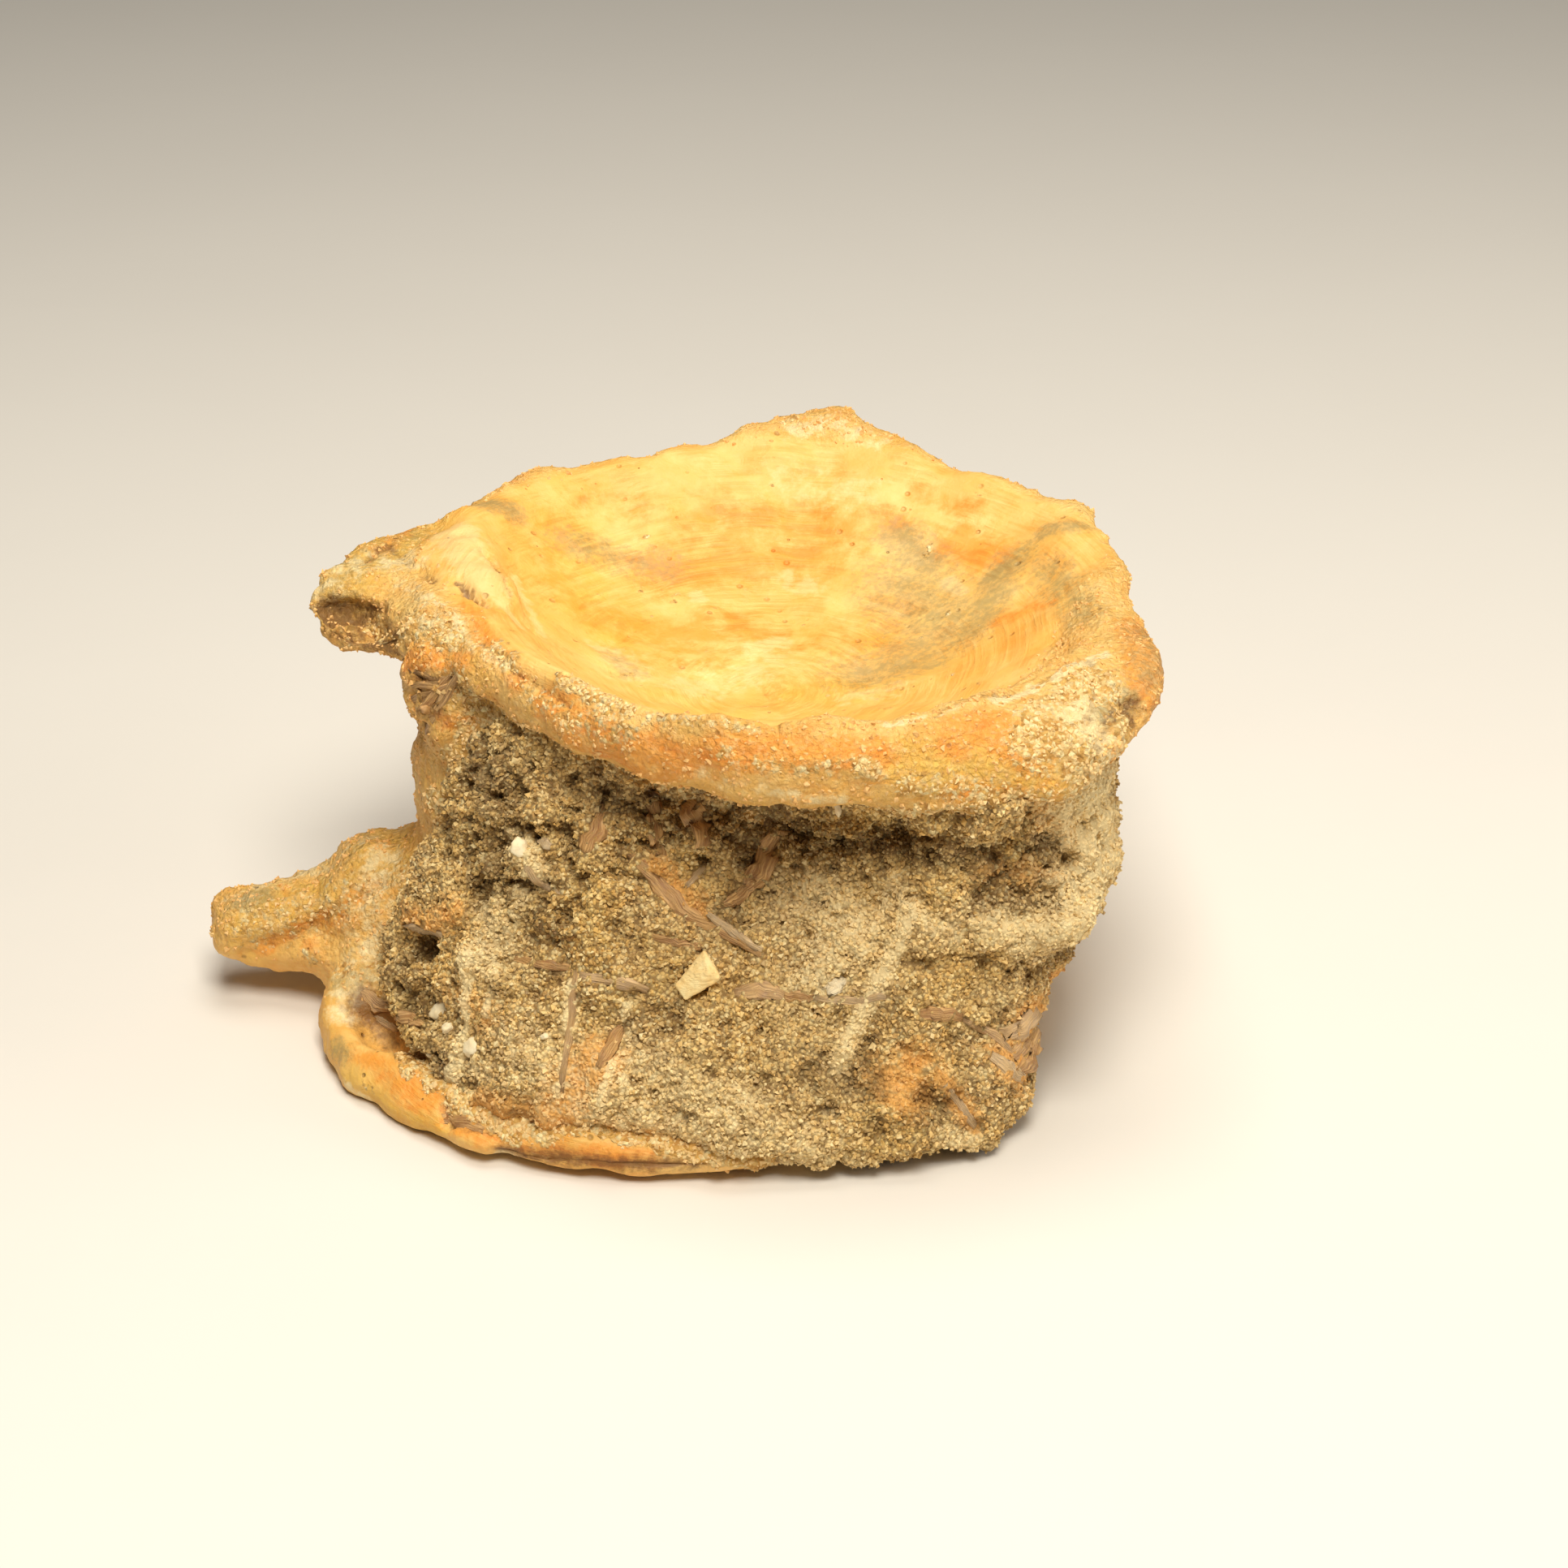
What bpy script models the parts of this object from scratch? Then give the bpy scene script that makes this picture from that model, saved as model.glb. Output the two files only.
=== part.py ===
"""Fossil mosasaur vertebra, standing on its lower face with sandy matrix left in its waist.

Three pieces: the bone, the matrix that clings to its front and right, and a loose bone chip
stuck in the matrix. Shapes are given in millimetres about the centrum and built in metres,
+Z up. Compass angles run anticlockwise seen from above: 0 is the right side (+X), 90 the back
(+Y), 180 the left and 270 the front.
"""
import math

import bmesh
import bpy
from mathutils import Matrix, Vector, noise

MM = 0.001

# ---------------------------------------------------------------- driving dimensions, mm
CUP_CENTRE = (5.0, 3.0)          # middle of the upper cup, seen from above
WAIST_CENTRE = (4.0, 1.0)        # middle of the narrow waist
FOOT_CENTRE = (1.0, -1.0)        # middle of the lower rim
CUP_FLOOR = 21.8                 # height of the deepest point of the upper cup
LOWER_CUP_DEPTH = 6.6            # depth of the hollow in the lower face
WAIST_HEIGHT = 15.0              # level of the narrow waist above the table
FOOT_SOLE = 4.0                  # width of the sole that the lower rim stands on
MATRIX_LIFT = 0.45               # the matrix ends this far above the table
BED_CLEARANCE = 0.35             # gap between bone, matrix and chip
ORIGIN_SHIFT = (1.02, -5.65, 0.0)   # moves the centrum so that the origin is under the middle

BONE_GRAIN = 0.6                 # detail size kept when the bone's limbs are fused
MATRIX_GRAIN = 0.7
RING_STEPS = 96                  # points round each turned ring
BONE_TRIANGLES = 5400
MATRIX_TRIANGLES = 3200

# ---------------------------------------------------------------- outlines of the bone
# Each outline is {compass angle: value in mm}, read as one smooth closed curve.
RIM_RADIUS = {0: 23.8, 10: 24.0, 24: 24.8, 35: 26.8, 45: 26.3, 61: 25.8, 70: 26.8, 76: 28.8,
              81: 30.2, 87: 28.4, 95: 26.8, 104: 25.8, 114: 25.6, 126: 26.9, 140: 26.0, 153: 25.0,
              165: 24.0, 183: 22.6, 204: 20.2, 221: 18.9, 233: 18.9, 250: 19.6, 265: 20.5,
              277: 21.6, 290: 22.6, 302: 24.1, 313: 26.2, 323: 26.8, 332: 27.0, 341: 26.0,
              352: 24.2}
RIM_HEIGHT = {0: 28.0, 35: 28.4, 70: 28.8, 81: 30.2, 92: 29.0, 126: 28.4, 153: 28.2, 183: 27.0,
              204: 26.8, 235: 26.4, 250: 26.0, 290: 26.0, 302: 25.6, 313: 25.4, 323: 26.2,
              332: 27.2, 345: 27.8}
CREST_RADIUS = {0: 20.2, 24: 21.8, 45: 23.6, 61: 23.4, 74: 25.0, 81: 26.4, 92: 24.4, 104: 23.4,
                126: 24.2, 150: 22.0, 164: 20.6, 186: 17.4, 204: 16.3, 227: 16.8, 246: 18.2,
                260: 18.7, 279: 18.8, 293: 19.3, 307: 19.9, 321: 20.5, 333: 20.9, 345: 20.5}
CREST_HEIGHT = {0: 28.8, 60: 29.0, 81: 30.8, 100: 29.2, 160: 28.8, 186: 28.8, 230: 29.0,
                270: 29.0, 310: 28.8, 333: 28.8}
LIP_THICKNESS = {0: 2.9, 60: 2.6, 120: 2.6, 170: 2.8, 200: 3.2, 250: 3.6, 290: 3.8, 310: 3.6,
                 325: 3.0, 340: 3.0}
WAIST_RADIUS = {0: 17.4, 45: 16.8, 90: 17.0, 135: 18.8, 165: 21.6, 184: 21.2, 198: 17.8,
                215: 14.2, 235: 12.6, 255: 11.6, 270: 11.2, 290: 12.0, 315: 14.4, 340: 16.8}
ANKLE_RADIUS = {0: 18.0, 45: 17.6, 90: 18.2, 135: 19.8, 165: 21.0, 184: 20.0, 198: 16.0,
                215: 14.6, 235: 14.0, 255: 14.0, 270: 14.0, 290: 14.6, 315: 16.0, 340: 17.6}
FOOT_RADIUS = {0: 21.6, 20: 22.6, 45: 22.6, 90: 22.4, 135: 22.9, 165: 24.0, 190: 24.8, 200: 24.4,
               211: 23.6, 228: 22.4, 247: 21.6, 256: 21.2, 270: 20.4, 290: 20.0, 313: 21.4,
               329: 20.0, 345: 20.2}
# How gently the waist flares out to the two rims: 0 sharply undercut, 1 a long easy curve.
FLARE = {0: 0.75, 30: 1.0, 160: 1.0, 185: 0.6, 205: 0.0, 300: 0.0, 330: 0.35}
FOOT_LIFT = {0: -0.4, 130: -0.4, 212: -0.4, 226: 0.0, 245: 0.4, 275: 0.6, 300: 0.5, 325: -0.2}

# ---------------------------------------------------------------- outline of the matrix
# Height above the table: radius outline about the waist's centre.
MATRIX_LEVELS = (
    (0.6, {0: 16.5, 30: 12.0, 180: 12.0, 205: 14.0, 213: 18.5, 220: 20.5, 235: 20.6, 255: 21.8,
           270: 21.9, 290: 22.8, 303: 24.0, 313: 23.4, 329: 19.0, 345: 16.4}),
    (3.0, {0: 17.4, 30: 12.5, 180: 12.5, 190: 17.0, 197: 22.0, 205: 24.2, 213: 24.4, 220: 24.8, 229: 24.2,
           238: 23.1, 251: 22.0, 263: 22.0, 270: 21.8, 290: 22.7, 303: 24.1, 313: 23.6,
           329: 20.3, 345: 18.2}),
    (4.6, {0: 18.4, 30: 13.2, 176: 13.2, 187: 21.0, 196: 24.4, 205: 24.8, 213: 24.6, 220: 24.5, 229: 23.5,
           238: 22.6, 251: 21.6, 263: 21.4, 270: 21.2, 290: 22.2, 303: 23.6, 313: 23.4,
           329: 20.8, 345: 19.2}),
    (7.0, {0: 19.6, 30: 14.5, 176: 14.5, 188: 23.4, 200: 23.9, 210: 23.2, 220: 22.8, 235: 21.6,
           255: 20.2, 270: 20.2, 290: 21.2, 303: 22.8, 313: 23.2, 329: 21.6, 345: 20.4}),
    (11.0, {0: 21.4, 30: 16.5, 176: 15.5, 188: 21.6, 198: 21.6, 208: 21.2, 220: 20.8, 235: 19.2,
            255: 17.7, 270: 17.6, 290: 19.4, 303: 21.6, 313: 23.2, 329: 23.4, 345: 22.8}),
    (15.0, {0: 22.4, 30: 17.0, 180: 15.0, 192: 20.4, 208: 20.0, 220: 18.8, 235: 16.6, 255: 14.6,
            270: 14.3, 290: 16.8, 303: 19.8, 313: 22.6, 329: 24.4, 345: 24.0}),
    (18.5, {0: 22.2, 30: 16.6, 180: 14.5, 194: 19.6, 208: 18.8, 220: 17.2, 235: 14.8, 255: 12.7,
            270: 12.3, 290: 14.6, 303: 18.2, 313: 21.6, 329: 24.0, 345: 23.6}),
    (21.5, {0: 21.6, 30: 16.0, 180: 14.0, 194: 18.4, 208: 17.6, 220: 16.2, 235: 14.0, 255: 12.5,
            270: 12.4, 290: 15.0, 303: 19.2, 313: 22.8, 329: 24.2, 345: 23.2}),
    (23.8, {0: 21.4, 30: 15.0, 180: 14.0, 194: 18.0, 208: 17.0, 220: 16.0, 235: 14.4, 255: 13.6,
            270: 14.0, 290: 18.0, 303: 22.8, 313: 24.8, 329: 24.8, 345: 23.2}),
    (26.0, {0: 18.0, 30: 13.0, 180: 12.0, 198: 14.0, 218: 14.0, 235: 13.4, 255: 13.0, 270: 13.4,
            290: 15.6, 303: 17.8, 313: 19.0, 329: 19.2, 345: 18.6}),
)

# The dark hollow between the lower flange and the matrix: (centre, radius) along it.
FOOT_CAVITY = [((-20.6, -5.6, 3.8), 0.9), ((-19.8, -7.0, 2.7), 1.5), ((-18.6, -8.3, 2.6), 1.3),
               ((-17.0, -9.8, 3.2), 0.9)]


# ---------------------------------------------------------------- small tools
def around(keys, degrees):
    """Value at a compass angle, read from a smooth closed curve through the keys."""
    turn = degrees % 360.0
    angles = sorted(keys)
    count = len(angles)
    after = next((i for i, angle in enumerate(angles) if angle > turn), 0)
    picks = [(after + step) % count for step in (-2, -1, 0, 1)]
    values = [keys[angles[pick]] for pick in picks]
    spots = [angles[pick] for pick in picks]
    spots[1] = spots[1] - 360.0 if spots[1] > turn else spots[1]
    spots[0] = spots[0] - 360.0 if spots[0] > spots[1] else spots[0]
    spots[2] = spots[2] + 360.0 if spots[2] <= turn else spots[2]
    spots[3] = spots[3] + 360.0 if spots[3] < spots[2] else spots[3]
    span = spots[2] - spots[1]
    part = (turn - spots[1]) / span
    leave = (values[2] - values[0]) / (spots[2] - spots[0]) * span
    arrive = (values[3] - values[1]) / (spots[3] - spots[1]) * span
    square, cube = part * part, part ** 3
    return (values[1] * (2 * cube - 3 * square + 1) + leave * (cube - 2 * square + part)
            + values[2] * (3 * square - 2 * cube) + arrive * (cube - square))


def blend(first, second, part):
    """Straight mix of two numbers."""
    return first + (second - first) * part


def polar(centre, radius, degrees, height):
    """Point in mm at a radius and compass angle from a centre."""
    angle = math.radians(degrees)
    return Vector((centre[0] + radius * math.cos(angle), centre[1] + radius * math.sin(angle),
                   height))


def collection(name):
    """New collection in the scene."""
    made = bpy.data.collections.new(name)
    bpy.context.scene.collection.children.link(made)
    return made


def add_object(name, mesh, home):
    """Object made from a bmesh, which is freed."""
    data = bpy.data.meshes.new(name)
    bmesh.ops.recalc_face_normals(mesh, faces=mesh.faces[:])
    mesh.to_mesh(data)
    mesh.free()
    made = bpy.data.objects.new(name, data)
    home.objects.link(made)
    return made


def loft(name, rings, home):
    """Closed skin over rings of points in mm; a ring of one point closes an end."""
    mesh = bmesh.new()
    rows = [[mesh.verts.new(point * MM) for point in ring] for ring in rings]
    for row, following in zip(rows, rows[1:]):
        steps = max(len(row), len(following))
        for step in range(steps):
            ahead = (step + 1) % steps
            corners = [row[step % len(row)], row[ahead % len(row)],
                       following[ahead % len(following)], following[step % len(following)]]
            mesh.faces.new(list(dict.fromkeys(corners)))
    for row in (rows[0], rows[-1]):
        if len(row) > 1:
            mesh.faces.new(row)
    return add_object(name, mesh, home)


def limb(name, sections, home, sides=20):
    """Closed limb through oval sections, each (centre, half width, half height) in mm."""
    rings = []
    for centre, across, up in sections:
        turns = [math.tau * step / sides for step in range(sides)]
        rings.append([Vector(centre) + Vector(across) * math.cos(turn)
                      + Vector(up) * math.sin(turn) for turn in turns])
    return loft(name, rings, home)


def stalk(name, points, home, sides=12):
    """Closed round limb through (centre, radius) points in mm."""
    centres = [Vector(centre) for centre, _radius in points]
    sections = []
    for index, (centre, radius) in enumerate(points):
        heading = centres[min(index + 1, len(points) - 1)] - centres[max(index - 1, 0)]
        across = heading.cross(Vector((0.0, 0.0, 1.0)))
        if across.length < 0.001:
            across = Vector((1.0, 0.0, 0.0))
        across.normalize()
        up = across.cross(heading).normalized()
        sections.append((centre, across * radius, up * radius))
    return limb(name, sections, home, sides)


def pebble(name, centre, radii, home):
    """Lump: a small sphere stretched to three radii in mm."""
    mesh = bmesh.new()
    bmesh.ops.create_uvsphere(mesh, u_segments=20, v_segments=12, radius=MM)
    bmesh.ops.scale(mesh, vec=Vector(radii), verts=mesh.verts[:])
    bmesh.ops.translate(mesh, vec=Vector(centre) * MM, verts=mesh.verts[:])
    return add_object(name, mesh, home)


def settle(body):
    """Replace an object's mesh by what its modifiers make of it."""
    graph = bpy.context.evaluated_depsgraph_get()
    made = bpy.data.meshes.new_from_object(body.evaluated_get(graph))
    body.modifiers.clear()
    body.data = made


def keep_largest(body):
    """Drop every loose island but the largest."""
    mesh = bmesh.new()
    mesh.from_mesh(body.data)
    mesh.verts.ensure_lookup_table()
    unseen = set(mesh.verts)
    islands = []
    while unseen:
        front = [unseen.pop()]
        island = set(front)
        while front:
            for edge in front.pop().link_edges:
                for vert in edge.verts:
                    if vert in unseen:
                        unseen.remove(vert)
                        island.add(vert)
                        front.append(vert)
        islands.append(island)
    islands.sort(key=len)
    crumbs = [vert for island in islands[:-1] for vert in island]
    bmesh.ops.delete(mesh, geom=crumbs, context="VERTS")
    mesh.to_mesh(body.data)
    mesh.free()


def join_into(body, others):
    """Put the meshes of other objects into one object, still as overlapping shells."""
    mesh = bmesh.new()
    for piece in (body, *others):
        mesh.from_mesh(piece.data)
    mesh.to_mesh(body.data)
    mesh.free()
    for piece in others:
        bpy.data.objects.remove(piece)


def fuse(body, voxel, smooth_steps=2):
    """Fuse overlapping shells into one skin and soften the seams."""
    skin = body.modifiers.new("fuse", "REMESH")
    skin.mode = "VOXEL"
    skin.voxel_size = voxel * MM
    soften = body.modifiers.new("soften", "SMOOTH")
    soften.factor = 0.5
    soften.iterations = smooth_steps
    settle(body)
    keep_largest(body)


def carve(body, cutter, solver="EXACT"):
    """Cut one object out of another."""
    cut = body.modifiers.new("carve", "BOOLEAN")
    cut.operation = "DIFFERENCE"
    cut.solver = solver
    cut.object = cutter
    settle(body)


def roughen(body, depth_at, scale, seed):
    """Push the skin in and out by noise of a given scale in mm, as deep as depth_at says."""
    mesh = bmesh.new()
    mesh.from_mesh(body.data)
    mesh.normal_update()
    shift = Vector((seed * 17.3, seed * 5.1, seed * 9.7))
    moves = []
    for vert in mesh.verts:
        point = vert.co / MM
        swing = noise.fractal(point / scale + shift, 0.9, 2.0, 3)
        moves.append(vert.normal * (swing * depth_at(point) * MM))
    for vert, move in zip(mesh.verts, moves):
        vert.co += move
    mesh.to_mesh(body.data)
    mesh.free()


def thin_out(body, triangles):
    """Collapse edges until about this many triangles are left."""
    body.data.calc_loop_triangles()
    ease = body.modifiers.new("thin", "DECIMATE")
    ease.ratio = min(1.0, triangles / len(body.data.loop_triangles))
    ease.use_collapse_triangulate = True
    even = body.modifiers.new("even", "SMOOTH")
    even.factor = 0.25
    even.iterations = 1
    settle(body)


def slab_below(name, height, home, half_size=60.0):
    """Block that reaches from far below up to a height in mm."""
    mesh = bmesh.new()
    bmesh.ops.create_cube(mesh, size=2 * half_size * MM)
    bmesh.ops.translate(mesh, vec=(0.0, 0.0, (height - half_size) * MM), verts=mesh.verts[:])
    return add_object(name, mesh, home)


def as_cutter(body):
    """Show an object only as a wire guide."""
    body.hide_render = True
    body.display_type = "WIRE"
    return body


def grown_copy(body, name, home):
    """Cutter that stands proud of a body all round, by the clearance."""
    made = bpy.data.objects.new(name, body.data.copy())
    home.objects.link(made)
    grow = made.modifiers.new("grow", "DISPLACE")
    grow.direction = "NORMAL"
    grow.mid_level = 0.0
    grow.strength = BED_CLEARANCE * MM
    settle(made)
    return as_cutter(made)


def finish_with(body, name, colour, roughness):
    """Give a body its own plain material and smooth shading."""
    material = bpy.data.materials.new(name)
    material.use_nodes = True
    shader = material.node_tree.nodes["Principled BSDF"]
    shader.inputs["Base Color"].default_value = (*colour, 1.0)
    shader.inputs["Roughness"].default_value = roughness
    shader.inputs["Metallic"].default_value = 0.0
    body.data.materials.clear()
    body.data.materials.append(material)
    body.data.shade_smooth()
    body.data.set_sharp_from_angle(angle=math.radians(40))


# ---------------------------------------------------------------- the bone
def centrum_rings():
    """Rings of the centrum from the floor of the upper cup, over the lip, to the lower cup."""
    angles = [360.0 * step / RING_STEPS for step in range(RING_STEPS)]

    def ring(point_at):
        return [point_at(angle) for angle in angles]

    def cup(part):
        def point(angle):
            rise = around(CREST_HEIGHT, angle) - CUP_FLOOR
            return polar(CUP_CENTRE, around(CREST_RADIUS, angle) * part, angle,
                         CUP_FLOOR + rise * part ** 2.3)
        return point

    def lip(reach, drop):
        def point(angle):
            crest, rim = around(CREST_RADIUS, angle), around(RIM_RADIUS, angle)
            top, edge = around(CREST_HEIGHT, angle), around(RIM_HEIGHT, angle)
            return polar(CUP_CENTRE, blend(crest, rim, reach), angle, blend(top, edge, drop))
        return point

    def under_lip(inset, depth):
        def point(angle):
            low = around(RIM_HEIGHT, angle) - depth * (around(LIP_THICKNESS, angle) - 1.6)
            return polar(CUP_CENTRE, around(RIM_RADIUS, angle) - inset, angle, low)
        return point

    def neck(sharp_part, easy_part, height, narrow):
        def point(angle):
            top = polar(CUP_CENTRE, around(RIM_RADIUS, angle) - 2.4, angle, height)
            low = polar(WAIST_CENTRE, around(narrow, angle), angle, height)
            return top.lerp(low, blend(sharp_part, easy_part, around(FLARE, angle)))
        return point

    def shin(inset, sharp_height, easy_part, easy_height):
        def point(angle):
            reach = around(FOOT_RADIUS, angle)
            sharp = polar(FOOT_CENTRE, reach - inset, angle, sharp_height)
            ankle = polar(WAIST_CENTRE, around(ANKLE_RADIUS, angle), angle, easy_height)
            easy = ankle.lerp(polar(FOOT_CENTRE, reach, angle, easy_height), easy_part)
            return sharp.lerp(easy, around(FLARE, angle))
        return point

    def foot(inset, height_at, centre=FOOT_CENTRE):
        def point(angle):
            lift = around(FOOT_LIFT, angle)
            return polar(centre, around(FOOT_RADIUS, angle) - inset, angle, height_at(lift))
        return point

    def lower_cup(part):
        def point(angle):
            reach = (around(FOOT_RADIUS, angle) - FOOT_SOLE - 0.6) * part
            floor = LOWER_CUP_DEPTH * (1.0 - part ** 2.2)
            return polar(FOOT_CENTRE, reach, angle, floor + max(0.0, around(FOOT_LIFT, angle)))
        return point

    return [
        [Vector((*CUP_CENTRE, CUP_FLOOR))],
        ring(cup(0.3)), ring(cup(0.55)), ring(cup(0.76)), ring(cup(0.9)),
        ring(lip(0.0, 0.0)), ring(lip(0.45, 0.08)), ring(lip(0.85, 0.5)), ring(lip(1.0, 1.0)),
        ring(under_lip(0.3, 0.75)), ring(under_lip(1.4, 1.0)),
        ring(neck(0.6, 0.25, 24.0, WAIST_RADIUS)), ring(neck(0.95, 0.62, 21.0, WAIST_RADIUS)),
        ring(neck(1.0, 0.95, 17.6, WAIST_RADIUS)), ring(neck(1.0, 1.0, WAIST_HEIGHT, WAIST_RADIUS)),
        ring(neck(1.0, 1.0, 9.5, ANKLE_RADIUS)), ring(shin(6.4, 2.6, 0.15, 7.6)),
        ring(shin(4.0, 2.8, 0.4, 6.0)), ring(shin(3.0, 3.9, 0.65, 4.8)),
        ring(shin(0.8, 2.3, 0.92, 3.2)),
        ring(foot(0.0, lambda lift: 1.1 + max(lift, 0.0))),
        ring(foot(0.9, lambda lift: lift)), ring(foot(FOOT_SOLE, lambda lift: lift)),
        ring(lower_cup(1.0)), ring(lower_cup(0.75)), ring(lower_cup(0.4)),
        [Vector((*FOOT_CENTRE, LOWER_CUP_DEPTH))],
    ]


def bone_growths(home):
    """Everything that stands out from the centrum."""
    spur = limb("spur", [
        ((-13.6, 8.0, 26.0), (0.0, 8.0, 0.0), (0.0, 0.0, 1.7)),
        ((-17.0, 9.4, 26.4), (0.4, 8.8, 0.3), (0.0, 0.0, 1.8)),
        ((-19.4, 10.4, 26.9), (0.4, 7.0, 0.4), (0.0, 0.0, 1.3)),
        ((-21.4, 9.6, 27.1), (0.3, 4.6, 0.3), (0.0, 0.0, 1.0)),
        ((-23.2, 7.6, 27.0), (0.2, 2.2, 0.2), (0.0, 0.0, 0.9)),
        ((-24.3, 6.6, 27.0), (0.1, 1.0, 0.1), (0.0, 0.0, 0.6)),
    ], home)
    spur_lump = stalk("spur_lump", [
        ((-23.9, 6.1, 26.5), 0.8), ((-22.6, 4.6, 25.5), 1.0), ((-20.8, 3.4, 25.0), 1.0),
        ((-17.4, 3.2, 24.8), 1.2),
    ], home)
    spur_keel = limb("spur_keel", [
        ((-14.6, 9.4, 23.6), (0.0, 6.0, 0.0), (0.0, 0.0, 2.8)),
        ((-18.6, 9.2, 25.4), (0.0, 5.2, 0.0), (0.0, 0.0, 1.9)),
        ((-21.6, 8.0, 26.2), (0.0, 3.2, 0.0), (0.0, 0.0, 1.3)),
        ((-23.4, 7.0, 26.6), (0.0, 1.6, 0.0), (0.0, 0.0, 0.8)),
    ], home)
    pillar = limb("broken_pillar", [
        ((-14.6, -0.6, 26.4), (3.2, -0.8, 0.0), (0.7, 3.0, 0.0)),
        ((-14.6, -1.2, 24.4), (3.2, -0.8, 0.0), (0.7, 3.2, 0.0)),
        ((-14.4, -1.6, 22.2), (2.8, -0.7, 0.0), (0.6, 3.0, 0.0)),
        ((-14.4, -1.4, 20.2), (1.8, -0.5, 0.0), (0.4, 2.2, 0.0)),
    ], home)
    wing = limb("lower_wing", [
        ((-15.0, 3.6, 7.0), (0.0, 6.4, 0.6), (0.0, -0.8, 5.0)),
        ((-18.6, 3.8, 6.8), (0.0, 5.4, 0.6), (0.0, -0.6, 4.4)),
        ((-21.8, 3.8, 6.0), (0.0, 4.6, 0.4), (0.0, -0.4, 4.2)),
        ((-24.4, 3.7, 4.9), (0.0, 4.0, 0.4), (0.0, -0.4, 3.4)),
        ((-27.8, 3.6, 4.5), (0.0, 3.5, 0.2), (0.0, -0.4, 2.8)),
        ((-30.2, 3.5, 4.5), (0.0, 3.0, 0.0), (0.0, -0.3, 2.5)),
        ((-31.3, 3.5, 4.4), (0.0, 2.4, 0.0), (0.0, -0.2, 1.8)),
    ], home)
    wing_shoulder = stalk("wing_shoulder", [
        ((-16.6, 4.0, 8.8), 2.0), ((-19.4, 3.8, 9.2), 1.7), ((-21.8, 3.6, 9.0), 1.4),
    ], home)
    heel = limb("heel", [
        ((-20.4, -1.2, 5.4), (1.6, -0.4, 0.0), (0.4, 3.0, 0.0)),
        ((-21.4, -2.2, 3.0), (1.8, -0.6, 0.0), (0.6, 4.0, 0.0)),
        ((-21.8, -3.0, 0.4), (1.8, -0.8, 0.0), (0.8, 4.6, 0.0)),
    ], home)
    flake = limb("cup_flake", [
        ((-14.2, 12.6, 28.3), (0.9, 0.3, 0.0), (0.0, 0.0, 0.5)),
        ((-13.4, 9.4, 28.2), (1.7, 0.5, -0.5), (0.0, 0.0, 0.6)),
        ((-12.0, 6.0, 28.1), (1.6, 0.7, -0.6), (0.0, 0.0, 0.6)),
        ((-10.9, 3.4, 27.8), (0.9, 0.5, -0.3), (0.0, 0.0, 0.5)),
    ], home)
    back_keel = limb("back_keel", [
        ((9.0, 22.5, 24.5), (2.4, 0.0, 0.0), (0.0, 1.6, 0.8)),
        ((8.4, 19.2, 19.0), (1.6, 0.0, 0.0), (0.0, 1.0, 0.4)),
        ((7.4, 18.2, 13.5), (1.3, 0.0, 0.0), (0.0, 0.9, 0.0)),
        ((6.6, 19.0, 8.0), (2.0, 0.0, 0.0), (0.0, 1.2, -0.5)),
    ], home)
    back_rib = limb("back_rib", [
        ((-9.5, 19.0, 22.5), (1.8, 0.9, 0.0), (-0.5, 1.2, 0.6)),
        ((-8.0, 16.4, 16.0), (1.2, 0.6, 0.0), (-0.4, 0.9, 0.2)),
        ((-8.8, 17.0, 9.0), (1.6, 0.8, 0.0), (-0.5, 1.1, -0.4)),
    ], home)
    return [spur, spur_lump, spur_keel, pillar, wing, wing_shoulder, heel, flake, back_keel,
            back_rib]


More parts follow.
